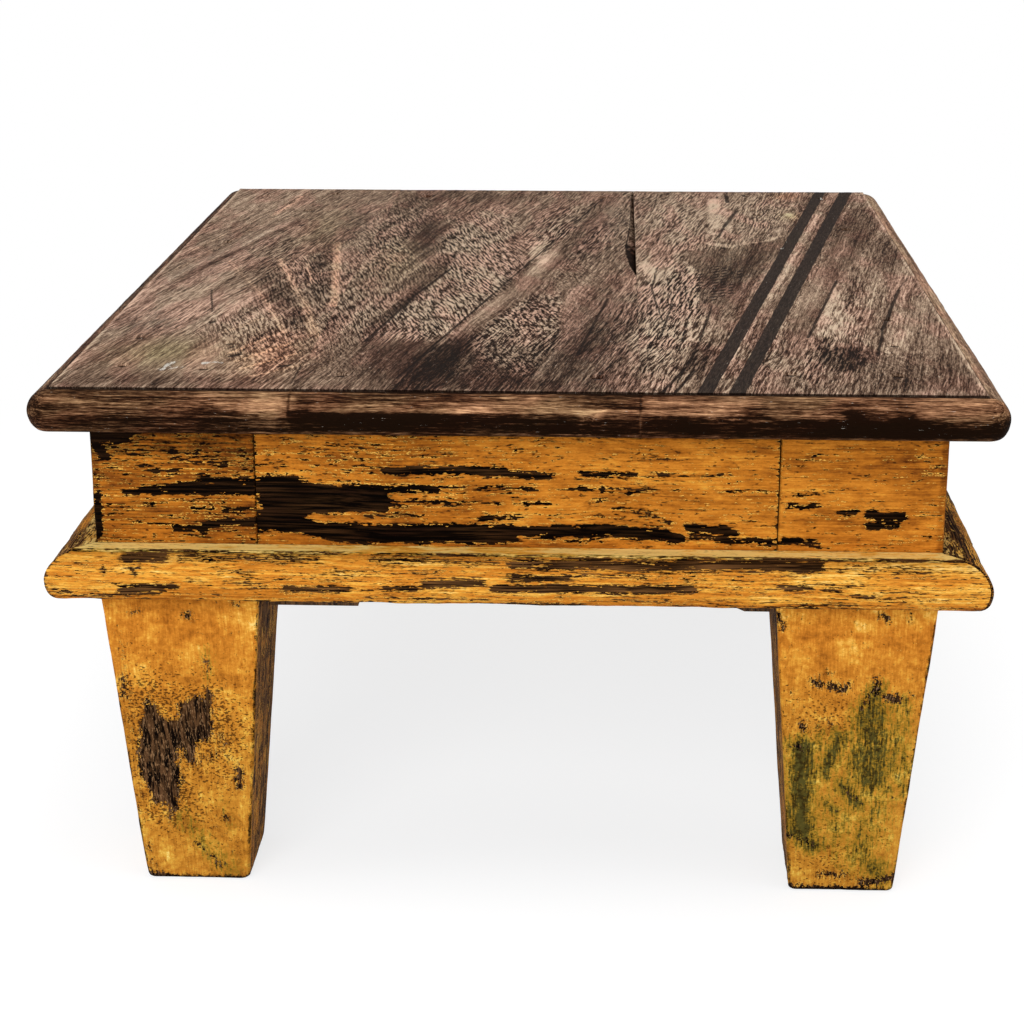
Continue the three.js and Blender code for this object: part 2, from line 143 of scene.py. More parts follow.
class Mark(ABC):
    """A place on a face where its finish differs, in the face's own mm."""

    strength: float

    @abstractmethod
    def distance(self, u: np.ndarray, v: np.ndarray) -> np.ndarray:
        """How far each place lies outside the mark's outline, negative inside, in mm."""

    def ramp(self, u: np.ndarray, v: np.ndarray, soft: float | np.ndarray) -> np.ndarray:
        """strength * clip(1/2 - distance / (2 soft)), where soft is half the width of the ramp, in mm."""
        return self.strength * np.clip(0.5 - self.distance(u, v) / (2 * soft), 0, 1)


@dataclass(frozen=True)
class Stroke(Mark):
    """A straight smear from one place to another with a half width, rounded at its ends."""

    u0: float
    v0: float
    u1: float
    v1: float
    half: float
    strength: float

    def distance(self, u: np.ndarray, v: np.ndarray) -> np.ndarray:
        """Distance to the segment, less the half width.

        Args:
            u: places along the face.
            v: places up or across the face.

        Returns:
            Distances in mm, negative inside.
        """
        du, dv = self.u1 - self.u0, self.v1 - self.v0
        along = ((u - self.u0) * du + (v - self.v0) * dv) / max(du * du + dv * dv, 1e-9)
        along = np.clip(along, 0, 1)
        return np.hypot(u - self.u0 - along * du, v - self.v0 - along * dv) - self.half


@dataclass(frozen=True)
class Patch(Mark):
    """An area inside a closed outline."""

    outline: tuple[tuple[float, float], ...]
    strength: float

    def distance(self, u: np.ndarray, v: np.ndarray) -> np.ndarray:
        """Distance to the nearest side of the outline, negative where the even-odd rule says inside.

        Args:
            u: places along the face.
            v: places up or across the face.

        Returns:
            Distances in mm, negative inside.
        """
        nearest = np.full(u.shape, 1e9)
        inside = np.zeros(u.shape, bool)
        for (u0, v0), (u1, v1) in zip(self.outline, self.outline[1:] + self.outline[:1]):
            nearest = np.minimum(nearest, Stroke(u0, v0, u1, v1, 0, 1).distance(u, v))
            if v0 != v1:
                crosses = (v0 > v) != (v1 > v)
                inside ^= crosses & (u < (u1 - u0) * (v - v0) / (v1 - v0) + u0)
        return np.where(inside, -nearest, nearest)


@dataclass(frozen=True)
class Blot:
    """A soft oval, turned by an angle in degrees from +v towards +u."""

    u: float
    v: float
    radius_u: float
    radius_v: float
    angle: float
    strength: float

    def weight(self, u: np.ndarray, v: np.ndarray) -> np.ndarray:
        """strength times exp(-radii^2), a bell over the oval.

        Args:
            u: places along the face, in mm.
            v: places up or across the face, in mm.

        Returns:
            The weight at each place.
        """
        turn = math.radians(self.angle)
        du, dv = u - self.u, v - self.v
        across = du * math.cos(turn) - dv * math.sin(turn)
        along = du * math.sin(turn) + dv * math.cos(turn)
        return self.strength * np.exp(-((across / self.radius_u) ** 2) - (along / self.radius_v) ** 2)


def strokes(*rows: tuple[float, ...]) -> tuple[Stroke, ...]:
    """Strokes from rows of u0, v0, u1, v1, half width and strength."""
    return tuple(Stroke(*row) for row in rows)


def blots(*rows: tuple[float, ...]) -> tuple[Blot, ...]:
    """Blots from rows of u, v, radius along u, radius along v, angle and strength."""
    return tuple(Blot(*row) for row in rows)


def coverage(marks: tuple[Mark, ...], u: np.ndarray, v: np.ndarray, soft: float | np.ndarray) -> np.ndarray:
    """The largest of the marks' ramps at each place, from 0 to 1, one half at an outline."""
    ramps = (mark.ramp(u, v, soft) for mark in marks)
    return functools.reduce(np.maximum, ramps, np.zeros(u.shape))


def shifted(marks: tuple[Mark, ...], u: np.ndarray, v: np.ndarray, soft: float) -> np.ndarray:
    """The sum of the marks' ramps at each place, up or down."""
    return sum((mark.ramp(u, v, soft) for mark in marks), np.zeros(u.shape))


def tinted(ovals: tuple[Blot, ...], u: np.ndarray, v: np.ndarray) -> np.ndarray:
    """The sum of the weights of blots, which raise or lower a tone."""
    return sum((oval.weight(u, v) for oval in ovals), np.zeros(u.shape))


# Wear and grime of the front, in (x, z) mm on each face

FRONT_APRON_WEAR = (
    Patch(((-108.5, 193.5), (-96.5, 193.5), (-86.5, 190), (-71.5, 189.5), (-54, 189), (-53, 183),
           (-55, 178), (-70.5, 177.5), (-84, 176.5), (-87, 175), (-83, 173), (-65.5, 173),
           (-65, 163), (-73, 164), (-89, 167), (-108.5, 169)), 1),
    *strokes(
        (-178.5, 210.5, -163, 211, 4.5, 1), (-175, 206, -171, 200, 2.1, 1),
        (-176, 185, -176.5, 166, 1.9, 1), (-177, 166, -178, 162, 1.1, 0.8),
        (-142, 200.5, -120, 198, 2.9, 0.52), (-160.5, 197.5, -143.5, 195, 1.7, 0.5),
        (-154, 195, -149, 194.5, 0.8, 0.9), (-163, 185.5, -142.5, 187, 2, 0.9),
        (-144, 187, -108.5, 187.5, 2.8, 1), (-132, 191.5, -109, 191, 1.6, 0.85),
        (-135.5, 178, -127, 178, 0.8, 0.9), (-122.5, 177.5, -114, 177.5, 1, 1),
        (-154, 172, -141.5, 171.5, 0.8, 0.7), (-143, 169.5, -131.5, 169.5, 1.8, 1),
        (-131, 171.5, -109, 172.5, 1.9, 1), (-60.5, 176.5, -38, 176, 1.3, 0.7),
        (-51.5, 196, -6.5, 196.5, 1.9, 1), (-7.5, 195.5, 11.5, 194.5, 1.4, 1),
        (-65, 197, -51.5, 197, 1.5, 0.72), (22.5, 195, 33, 195, 1.2, 1), (36, 195, 46, 195, 1, 1),
        (48.5, 195, 90, 195, 0.5, 0.8), (-53.5, 188, -34, 188, 1.7, 1), (-36, 188.5, -6, 189, 0.8, 0.8),
        (-6, 188.5, 7, 188.5, 1, 1), (13.5, 189, 109.5, 188.5, 0.4, 0.66),
        (-53.5, 182, -29, 182.5, 1.4, 0.82), (-29.5, 182, -6.5, 182.5, 0.8, 0.9),
        (-1.5, 182.5, 13.5, 182.5, 0.9, 0.9), (-14.5, 176, 1.5, 176.5, 1.7, 0.9),
        (13.5, 176.5, 35, 178, 1.7, 0.4), (-65.5, 168, -1.5, 169, 4.2, 1),
        (-1.5, 170, 44.5, 171, 2.5, 0.95), (43.5, 170.5, 67.5, 168.5, 2.9, 0.95),
        (-1.5, 167, 43.5, 167.5, 1.7, 0.55), (59.5, 175, 68, 174.5, 0.8, 0.9),
        (73.5, 173, 95, 172, 2.5, 0.72), (80, 171, 94, 171.5, 0.8, 1), (72.5, 168.5, 109.5, 167, 1.2, 0.85),
        (82, 167, 109.5, 166.5, 1.1, 0.95), (112, 167.5, 126, 165.5, 1.5, 1),
        (16, 201.5, 24.5, 201.5, 1, 0.7), (35, 202.5, 72, 201.5, 1.1, 0.5), (52, 195, 60, 195, 1, 0.9),
        (66, 195, 78, 194.5, 0.8, 0.85), (20, 189, 26, 189, 0.9, 0.85), (32, 189, 38, 189, 0.8, 0.85),
        (44, 188.5, 56, 188.5, 1, 0.9), (70, 188.5, 75, 188.5, 0.8, 0.8), (90, 188.5, 104, 188, 0.7, 0.8),
        (-150, 203, -112, 202, 1.2, 0.5), (-60, 204, 10, 203, 1, 0.45), (44, 181, 56, 177.5, 2.9, 0.52),
        (28, 184, 31.5, 183.5, 0.7, 0.8), (115.5, 188, 124.5, 188, 1.2, 0.75),
        (112.5, 182.5, 125.5, 183, 1, 1), (134.5, 180, 141.5, 180.5, 1.1, 1),
        (141.5, 180, 146, 179, 0.7, 0.6), (146.5, 179, 160, 178.5, 1.9, 1),
        (145.5, 175, 156, 174.5, 1.5, 0.95), (152.5, 178, 158.5, 174.5, 1.6, 0.9),
        (142, 167, 157.5, 165.5, 0.6, 0.55), (128, 203, 171, 202.5, 0.9, 0.42),
    ),
)

FRONT_SKIRT_WEAR = strokes(
    (-169.5, 163, -145.5, 162.5, 1.1, 0.9), (-163, 161, -147, 161, 1.9, 0.9),
    (-140, 161, -81, 161, 1.2, 0.75), (-171.5, 157, -171.5, 155, 0.9, 1),
    (-158.5, 156.5, -158, 154.5, 0.9, 1), (-194, 148, -185.5, 146.5, 1, 0.9),
    (-165, 148, -142, 150, 2, 0.9), (-176.5, 144.5, -148.5, 147, 0.7, 1),
    (-136.5, 152.5, -126, 152, 0.4, 0.7), (-96, 149.5, -69, 149.5, 1.9, 0.8),
    (-55, 150.5, -40, 150.5, 1.2, 0.9), (-37, 152.5, -14, 153.5, 1.9, 0.95), (-8, 151, 31, 151, 2.1, 0.95),
    (31, 151, 74, 152, 1.9, 1), (-1, 155, 23, 155.5, 1.7, 0.75), (-1, 160, 76, 160, 2.2, 0.72),
    (19, 160.5, 52, 160, 2, 0.85), (68, 160.5, 126, 160.5, 2, 0.85), (99, 161, 107, 161, 1.8, 1),
    (41.5, 146.5, 65, 146, 0.9, 0.8), (68.5, 155.5, 104.5, 155.5, 0.5, 0.7),
    (110, 153, 121, 152.5, 1.5, 0.82), (125.5, 152.5, 133, 152, 1.2, 0.92), (140, 149.5, 148, 149, 1, 0.8),
    (166.5, 148.5, 188, 148.5, 0.7, 0.6), (113.5, 145, 141, 145.5, 0.7, 0.8),
    (98.5, 151.5, 106, 152, 0.7, 0.8), (-124, 157, -109.5, 155.5, 1.7, 0.5),
    (-190, 145.5, -173, 143.5, 1, 0.8), (-60, 161, -6, 160.5, 1.2, 0.7), (128, 160, 172, 159, 1, 0.62),
    (-76, 157, -30, 156.5, 0.9, 0.66), (20, 157, 64, 156.5, 1, 0.66), (-120, 152, -104, 152, 1.2, 0.7),
    (-60, 146, -10, 145.5, 1, 0.7), (150, 152, 176, 151, 0.9, 0.62),
)

LEFT_LEG_WEAR = (
    Patch(((-167, 64), (-164.5, 77.5), (-161, 90), (-156.5, 86), (-154, 80.5), (-147, 80),
           (-147.5, 88), (-139, 91), (-136, 90.5), (-133.5, 96), (-132, 94), (-133, 73),
           (-139.5, 67.5), (-141.5, 58.5), (-145, 60.5), (-147, 67), (-149.5, 59.5), (-148, 51.5),
           (-149, 43), (-154.5, 29), (-155.5, 38), (-161, 38.5), (-167, 54.5)), 1),
    *strokes(
        (-141, 130.5, -140, 130, 1.5, 1), (-120.5, 136.5, -119, 135.5, 1.1, 0.9),
        (-165.5, 131, -161, 131.5, 1, 0.7), (-170.5, 100.5, -170.5, 90.5, 1.4, 0.8),
        (-122.5, 55.5, -122.5, 47.5, 2.2, 0.85), (-130, 32.5, -128.5, 30, 1.3, 0.7),
        (-134, 108.5, -133, 104, 1.1, 0.8), (-167, 2.5, -149, -3, 2, 0.95),
        (-132, -1.5, -125, -2, 1.3, 0.8), (-168, 89, -167, 59.5, 1.3, 0.5),
        (-131.5, 72.5, -126.5, 68, 1.7, 0.6), (-144, 57.5, -132.5, 63, 2.6, 0.5),
        (-170.5, 118, -166.5, 79.5, 1.3, 0.46), (-165, 9, -162.5, 6, 0.9, 0.6),
        (-112, 95, -115.5, 40.5, 0.5, 0.9), (-109.5, 134, -112, 95, 0.4, 0.6),
        (-165.5, 16.5, -164.5, 14, 0.9, 0.7), (-149, 45, -151.5, 34, 1.3, 0.62),
        (-143, 19, -139, 14, 1.8, 0.62), (-138, 13, -133, 7, 1.5, 0.7),
    ),
)

LEFT_LEG_GRIME = strokes(
    (-142, 21, -133, 7, 3, 0.6), (-149, 31, -128, 5, 5, 0.35), (-133.5, 114, -133, 101, 2.5, 0.35),
    (-130, 38, -128, 27, 3, 0.3),
)

RIGHT_LEG_WEAR = strokes(
    (126, 103, 129.5, 102, 1.4, 1), (134.5, 101.5, 137, 100.5, 1.7, 1), (140, 99.5, 142, 101.5, 1.3, 1),
    (130, 107.5, 133.5, 107.5, 0.8, 0.7), (153, 104.5, 154.5, 98, 1.5, 0.9), (148, 91, 152, 98.5, 1.1, 0.8),
    (159, 96, 162.5, 95, 2.1, 0.95), (164, 96.5, 169, 97.5, 1, 0.7), (123, 83.5, 124, 78.5, 0.9, 0.8),
    (134, 85.5, 135, 82, 0.7, 0.7), (129, 82, 130.5, 78, 0.9, 0.6), (119.5, 72.5, 123.5, 71, 1.5, 0.8),
    (134, 8, 144, 7.5, 1.5, 0.85), (152.5, 4, 165.5, 7, 2.2, 0.85), (111, 133.5, 112.5, 128, 1.1, 1),
    (153.5, 135, 156.5, 133, 1, 0.9), (165, 137.5, 166, 132, 0.9, 0.7), (119, 27.5, 129.5, 24.5, 1.7, 0.7),
    (119.5, 2, 152, 1, 0.7, 0.9), (115, 141, 140, 140, 1, 0.8), (142.5, 51, 148, 46, 1.7, 0.6),
    (118, 99, 120.5, 93.5, 0.8, 0.5),
)

RIGHT_LEG_GRIME = strokes(
    (123, 71, 125, 30, 5.5, 1), (121, 30, 131, 23, 3.5, 1), (139, 76, 133, 60, 3.5, 1),
    (130, 78, 131, 72, 2, 0.7), (154, 100, 150, 86, 3, 0.9), (152, 88, 155, 56, 8, 0.75),
    (162, 92, 163, 62, 4, 0.6), (146, 70, 150, 56, 4, 0.8), (142, 53, 149, 44, 3.5, 0.95),
    (166, 95, 168, 50, 1.5, 0.8), (160, 60, 150, 18, 7, 0.45), (134, 46, 142, 30, 5, 0.5),
    (150, 22, 162, 6, 6, 0.55), (156, 84, 150, 20, 14, 0.3),
)

LEG_SPECKLES = blots(
    (-150, 88, 26, 16, 0, 0.6), (-132, 70, 16, 26, 0, 0.9), (-160, 64, 12, 40, 0, 0.7),
    (-150, 38, 14, 14, 0, 0.7), (-134, 20, 14, 18, 0, 0.3), (132, 84, 22, 14, 0, 0.7),
    (140, 50, 26, 26, 0, 0.35), (140, 16, 24, 18, 0, 0.5),
)


# Wear and marks of the top, in (x, y) mm

SAWN_STRIPES = (
    Patch(((162, 246), (168.5, 246), (79, -246), (72.5, -246)), 1),
    Patch(((177, 246), (184.5, 246), (92, -246), (85.5, -246)), 1),
)
SAWN_LINES = strokes(
    (34, 219, -19, -59, 0.55, 1), (-19, -59, -49.5, -222, 0.75, 1), (-34, 73, -43, 4, 0.5, 0.7),
    (-43, 4, -55.5, -59, 1, 0.9), (-55.5, -59, -69.5, -158, 1.1, 0.85), (18, 20, 2, -64, 0.7, 0.6),
    (24, 62, 14, 10, 0.9, 0.7), (22, -80, 6, -222, 0.8, 0.7), (37, -64, 24, -180, 1.1, 0.75),
    (-14, -150, -28, -236, 0.8, 0.7), (-156.5, -52, -147.5, -100, 0.6, 1),
    (-92, -196, -91.5, -240, 0.5, 0.9), (150, -20, 126, -143, 0.9, 0.9), (186, -11, 178, -41, 0.7, 0.8),
    (178, -41, 161, -125, 1, 0.95), (161, -125, 153, -176, 0.8, 0.9), (106.5, 226, 106.5, 202, 1.2, 1),
    (110.5, 175, 101, 124, 1.3, 0.9), (101, 124, 96, 91, 1, 0.85), (126, 226, 112, 160, 0.9, 0.6),
    (74, 150, 66, 96, 0.9, 0.5), (59.5, -240, 69, -204, 0.9, 0.9), (65, -240, 74, -204, 0.9, 0.9),
    (113, -90, 96, -200, 0.7, 0.6), (120, -110, 104, -236, 0.8, 0.6), (62, 10, 58, -40, 0.7, 0.85),
    (58, -40, 62, -110, 0.8, 0.85), (66, -10, 68, -70, 0.7, 0.8), (68, -70, 60, -150, 0.8, 0.85),
    (74, -30, 76, -90, 0.7, 0.85), (76, -90, 68, -170, 0.8, 0.8), (86, -80, 78, -150, 0.8, 0.85),
    (78, -150, 66, -225, 0.8, 0.8), (56, -120, 54, -200, 0.7, 0.75), (104, 200, 92, 110, 0.7, 0.75),
    (-60, -20, -78, -110, 0.8, 0.75), (-10, 200, -34, 90, 0.7, 0.7), (46, 150, 30, 60, 0.7, 0.75),
    (-150, 200, -172, 90, 0.9, 0.7), (-136, 170, -160, 40, 0.8, 0.6), (-116, -10, -102, -70, 1, 0.75),
    (-122, 20, -108, -60, 0.8, 0.7),
)
LIGHT_STREAKS = (
    Patch(((148.5, -20), (150, -110), (135.5, -143), (129, -137), (142, -56)), 0.72),
    *strokes(
        (-109.5, 70, -92, -86, 2, 1), (-117.5, 13, -109.5, -39, 1.2, 0.8), (-108, -75, -91.5, -150, 1.5, 1),
        (-108.5, -81, -94, -150, 0.7, 0.9), (-134.5, 26, -114.5, -52, 1.6, 0.8),
        (-114.5, -52, -105.5, -86, 1.3, 0.8), (-159.5, 18, -131.5, -58, 1, 0.6),
        (-131.5, -58, -111.5, -126, 1.2, 0.7), (-111.5, -126, -108, -141, 1.2, 0.9),
        (-126, -182, -109, -141, 1, 0.8), (-116, -208, -96.5, -180, 1.1, 0.8),
        (-110.5, -222, -89.5, -198, 1, 0.7), (-135, -142, -122, -114, 1, 0.7),
        (-120.5, -196, -102.5, -162, 1, 0.75), (-155, 142, -182.5, -4, 0.6, 0.62),
        (-163.5, 136, -184, 44, 0.7, 0.55), (-148, 214, -156, 150, 1.8, 0.62),
        (35.5, 219, -17.5, -59, 0.4, 0.55), (-41, 4, -53.5, -59, 0.6, 0.7), (-32, 20, -16, -40, 2.6, 0.6),
        (-40, -66, -34, -140, 4, 0.55), (-2, 74, 1, 22, 5.2, 0.62), (98, 210, 97, 150, 3.8, 0.9),
        (97, 150, 93.5, 102, 2.4, 0.8), (105.5, 130, 96, 88, 0.9, 0.85), (93, 73, 101, 67, 3.6, 1),
        (102.5, 68, 121.5, 82, 1, 0.8), (121.5, 82, 132.5, 97, 1.3, 0.8), (139, 165, 142, 152, 3.2, 0.7),
        (158, 169, 82, -224, 1.7, 0.8), (184, 226, 95, -236, 0.5, 0.7), (151.5, -21, 128, -141, 0.5, 0.7),
        (181.5, -41, 158, -170, 0.8, 0.8), (55, 22, 62, -20, 3.4, 0.66), (67.5, 4, 52, -176, 1.2, 0.8),
        (79, 10, 78, -26, 1.6, 0.9), (78, -26, 69.5, -131, 1.5, 0.85), (71, -56, 56.5, -191, 1.1, 0.75),
        (80.5, -56, 72.5, -146, 1.2, 0.75), (86, -110, 74, -190, 1.2, 0.62),
        (56.5, -242, 66, -206, 0.9, 0.95), (62, -242, 71, -206, 0.9, 0.95),
        (67.5, -242, 73.5, -212, 0.9, 0.9), (110, -120, 94, -230, 0.8, 0.62),
        (118, -100, 102, -225, 0.9, 0.62),
    ),
)
SMOOTH_AREAS = (
    Patch(((-156, 142), (-141, 142), (-170, -40), (-186, -30)), 1),
    Patch(((77, 52), (99.5, 58), (132.5, 91), (115, 4), (110.5, -11), (99.5, -74), (83.5, -101),
           (79.5, -86), (82, -5), (77, 34)), 1),
    Patch(((-184, -150), (-128, -150), (-122, -200), (-150, -236), (-186, -236)), 0.85),
    *strokes(
        (41, 205, -9, -59, 6, 0.9), (-14, -70, -38, -212, 5.5, 0.8), (36, -70, 22, -236, 8, 0.8),
        (-62, 140, -58, 20, 6.5, 0.7), (-60, -160, -66, -236, 12, 0.5), (176, 150, 166, 70, 9, 0.6),
    ),
)
TOP_TONES = blots(
    (-128, -44, 9, 60, -18, -0.13), (-110, -96, 8, 44, -20, -0.14), (-175, -122, 14, 30, 0, -0.08),
    (-153, -180, 20, 24, 0, 0.03), (-150, -228, 46, 11, 0, -0.16), (88, 160, 34, 80, 12, 0.2),
    (-15, -196, 46, 44, 0, -0.12), (-128, 30, 14, 60, -14, -0.1), (-104, 120, 9, 74, -4, -0.12),
    (-128, 96, 12, 50, -6, -0.06), (-112, -160, 18, 50, 0, -0.06), (-166, 178, 22, 50, 10, 0.07),
    (-148, -102, 34, 26, 0, 0.09), (-170, 40, 14, 80, 10, 0.03), (-62, 82, 9, 80, -5, -0.17),
    (-55, 216, 48, 26, 0, -0.14), (-84, 60, 9, 90, 0, -0.06), (-30, 30, 20, 100, -8, 0.06),
    (0, 48, 9, 30, 0, 0.1), (33, 120, 10, 80, 8, -0.08), (34, -150, 17, 84, 8, -0.24),
    (-62, -200, 26, 42, 0, -0.1), (0, -226, 50, 16, 0, -0.1), (-32, -190, 9, 50, 10, -0.2),
    (-80, -90, 10, 60, 0, 0.05), (62, -75, 15, 95, 6, 0.08), (61, 12, 11, 18, 0, 0.24),
    (76, -196, 12, 30, 10, -0.1), (96, -10, 15, 70, 12, -0.12), (138.5, -179, 10, 20, 0, -0.27),
    (172, 112, 15, 50, 6, -0.14), (182, -200, 10, 40, 0, -0.08), (164, -30, 14, 60, 10, 0.05),
    (116, 120, 22, 60, 10, 0.05), (70, 150, 18, 80, 0, 0.03), (140, -222, 44, 14, 0, -0.05),
)
# Bands and patches with clear edges: how much lighter or darker, then how much more torn or smoother
# Those that differ in both: outline, tone, tearing
TOP_FIELDS = (
    (((-50, 106), (-41, 166), (-26, 190), (-13, 152), (-20.5, 86), (-7.5, 22), (-14, -44),
      (-26, -96), (-43.5, -10)), 0.07, 0.35),
    (((-59, -103), (-49, -34), (-30, -86), (-35.5, -145), (-52, -155)), 0.06, 0.4),
    (((-74, 70), (-59.5, 134), (-50.5, 124), (-59.5, 71), (-57.5, 26), (-67.5, 44)), -0.13, -0.7),
    (((-67, -160), (-37, -156), (-47, -210), (-58.5, -242)), -0.14, -0.5),
    (((-68.5, -146), (-41, 26), (-46.5, 48), (-72, -113)), -0.12, -0.4),
    (((150, -30), (149, -90), (153, -156), (139, -153), (130, -134)), 0.16, 0.35),
    (((54.5, 8), (67.5, 23), (83.5, 8), (87.5, -44), (78.5, -130), (62, -244), (52.5, -244)), 0.06, 0.3),
)
TOP_BANDS = (
    *(Patch(outline, tone) for outline, tone, _ in TOP_FIELDS),
    Patch(((-46.5, -212), (-33.5, -150), (-24, -149), (-15, -188), (3.5, -220), (18, -224),
           (18.5, -238), (-52.5, -242)), -0.14),
    Patch(((10.5, 74), (11.5, 33), (1, -8), (-7, -18), (2, 34)), 0.16),
    Patch(((79.5, 47), (87, 60), (132.5, 86), (124.5, 48), (111, -21), (97, -108), (84.5, -94),
           (84, -33)), -0.12),
    Patch(((97, 214), (107.5, 215), (102, 119), (93, 118)), 0.22),
    Patch(((130, -166), (143, -156), (151.5, -166), (144.5, -204), (130.5, -202)), -0.2),
    Patch(((73.5, -153), (84.5, -148), (78, -198), (72, -198)), -0.16),
    Patch(((176.5, 212), (186.5, 213), (189.5, 28), (174.5, 6), (167, 86)), -0.1),
    Patch(((151.5, -166), (188.5, -173), (187, -232), (143.5, -234)), -0.1),
    Patch(((-143, 18), (-134.5, 26), (-105.5, -86), (-91, -150), (-100.5, -150), (-113.5, -109),
           (-135, -34)), -0.06),
    Patch(((-127.5, 108), (-109, 78), (-93.5, -86), (-99, -92), (-118.5, 20)), -0.16),
    Patch(((-152, -224), (-91, -221), (-88, -240), (-148, -242)), -0.1),
    *strokes(
        (-188.5, 4, -170, 106, 1.3, -0.18), (-177, -29, -139.5, 132, 1.2, -0.2),
        (-187.5, -48, -163, 39, 1.2, -0.14), (-175.5, -6, -145, 127, 1.6, 0.1),
        (-189, 42, -165.5, 164, 1.6, -0.12), (10, 84, -47, -210, 1, -0.12),
    ),
)
TOP_TORN = (
    *(Patch(outline, torn) for outline, _, torn in TOP_FIELDS),
    Patch(((13.5, -58), (16, -156), (3, -216), (-15, -188), (-25.5, -158), (-11.5, -101), (0.5, -59)), 0.6),
    Patch(((10.5, 74), (12, 10), (-11.5, -101), (-25, -130), (-37, -156), (-27.5, -112)), -0.5),
    Patch(((-147.5, -99), (-109, -141), (-94.5, -160), (-88, -216), (-110.5, -222), (-130.5, -182)), 0.12),
    Patch(((175.5, 162), (181.5, 132), (148.5, -42), (119, -184), (111, -242), (102, -242),
           (128.5, -66)), -0.3),
)
TOP_FIBRES = blots(
    (-34, 30, 24, 110, -8, 1), (-82, 60, 14, 110, 0, 0.8), (-52, -110, 30, 56, 0, 0.95),
    (14, 100, 24, 90, 0, 0.7), (-112, -160, 22, 60, 0, 0.35), (-114, -20, 16, 80, -14, 0.55),
    (-140, 60, 26, 90, 0, 0.15), (-140, -110, 26, 30, 0, 0.25), (64, -80, 17, 110, 6, 1),
    (74, 150, 24, 90, 0, 0.62), (112, -190, 36, 60, 10, 0.5), (150, -80, 12, 60, 12, 0.4),
    (124, 160, 22, 70, 8, 0.5),
)
TOP_CROSSED = blots(
    (-34, 10, 30, 170, 0, 1.1), (-82, 30, 20, 200, 0, 1.1), (-112, -60, 26, 110, 0, 1.1),
    (-126, -150, 22, 40, 0, 0.9),
)
TOP_CRUMBS = blots(
    (0, -104, 19, 42, 0, 1.2), (-66, -196, 26, 34, 0, 0.8), (20, -20, 16, 60, 0, 0.7),
    (-6, -196, 20, 30, 0, 0.8), (-108, -186, 16, 34, 0, 0.6), (162, -190, 24, 40, 0, 0.5),
)
TOP_GREYS = blots(
    (-62, 82, 11, 80, -5, 1), (34, -150, 20, 90, 8, 0.9), (-30, -200, 40, 46, 0, 0.8),
    (-168, 20, 20, 120, 10, 0.5), (-172, -130, 18, 34, 0, 0.7), (-104, 120, 12, 80, 0, 0.6),
    (98, 0, 18, 80, 12, 1), (38, 130, 12, 90, 8, 0.7), (140, -180, 14, 26, 0, 0.7),
)
TOP_GREENS = blots(
    (-156, -180, 22, 26, 0, 0.7), (-122, 110, 14, 60, 0, 0.3), (104, 30, 16, 50, 14, 0.15),
    (141, 158, 6, 14, 0, 0.7), (-72, 20, 16, 60, 0, 0.3),
)
TOP_WARM = blots(
    (-108, -185, 18, 44, 0, 1), (142, 226, 9, 14, 0, 1),
)
WHITE_FLECKS = strokes(
    (-149.5, -211, -147.5, -198, 1.6, 0.72), (-146, -209, -142, -206, 1.2, 0.66),
    (-134, -200, -130, -197, 1.7, 0.72), (-128.5, -197, -126, -199, 1.1, 0.7),
    (128.5, 60, 128.5, 62, 0.8, 0.9), (163.5, 216, 163.5, 220, 0.8, 0.9),
)
KNOT_HOLES = strokes(
    (-136, 119, -135, 123, 1.2, 1), (-124.5, -187, -121, -183, 1.5, 0.9),
    (-144, -124, -143, -120, 1.2, 0.8), (-101, -204, -97, -201, 1.6, 0.8), (-127, -172, -126, -169, 1, 0.8),
    (101, 222, 101, 218, 1, 0.8), (117, 228, 118, 223, 1.3, 0.9), (163, 173, 161, 167, 0.9, 0.8),
    (-171.5, -226, -168.5, -226, 0.9, 0.9),
)
# x, first and last y of each column of dashes
COMB_COLUMNS = (
    (82.8, -8.0, -50.0), (90.7, 12.0, -68.0), (94.6, 8.0, -60.0), (98.6, -32.0, -56.0), (102.5, 0.0, -14.0),
)
COMB_PITCH = 6.6
# Blots of the front nose, in (x, mm of drop below the top face)
NOSE_TONES = blots(
    (-99, 6.5, 9, 5.5, 0, 0.42), (-122, 3.5, 16, 2.6, 0, 0.22), (-118, 11, 10, 4, 0, -0.1),
    (-160, 6, 34, 3, 0, 0.12), (-150, 12.5, 50, 2.6, 0, 0.14), (-60, 6, 26, 1.3, 0, 0.3),
    (-18, 5.5, 12, 2, 0, 0.42), (12, 4.5, 18, 3.2, 0, 0.36), (30, 7.5, 9, 2, 0, 0.3),
    (20, 12.5, 5, 2, 0, -0.4), (72, 6.5, 30, 2.4, 0, 0.22), (120, 7, 16, 3, 0, 0.14),
    (136, 8, 4.5, 4, 0, -0.5), (156, 8, 4, 4, 0, -0.42), (172, 6.5, 22, 4, 0, 0.24),
    (186, 11, 6, 3, 0, 0.2), (146, 13, 26, 4, 0, -0.4), (70, 12, 9, 3, 0, -0.3), (96, 6, 6, 3, 0, -0.2),
    (-128, 7, 5, 3, 0, -0.25), (-86, 5, 6, 4, 0, -0.2),
)


# Meshes


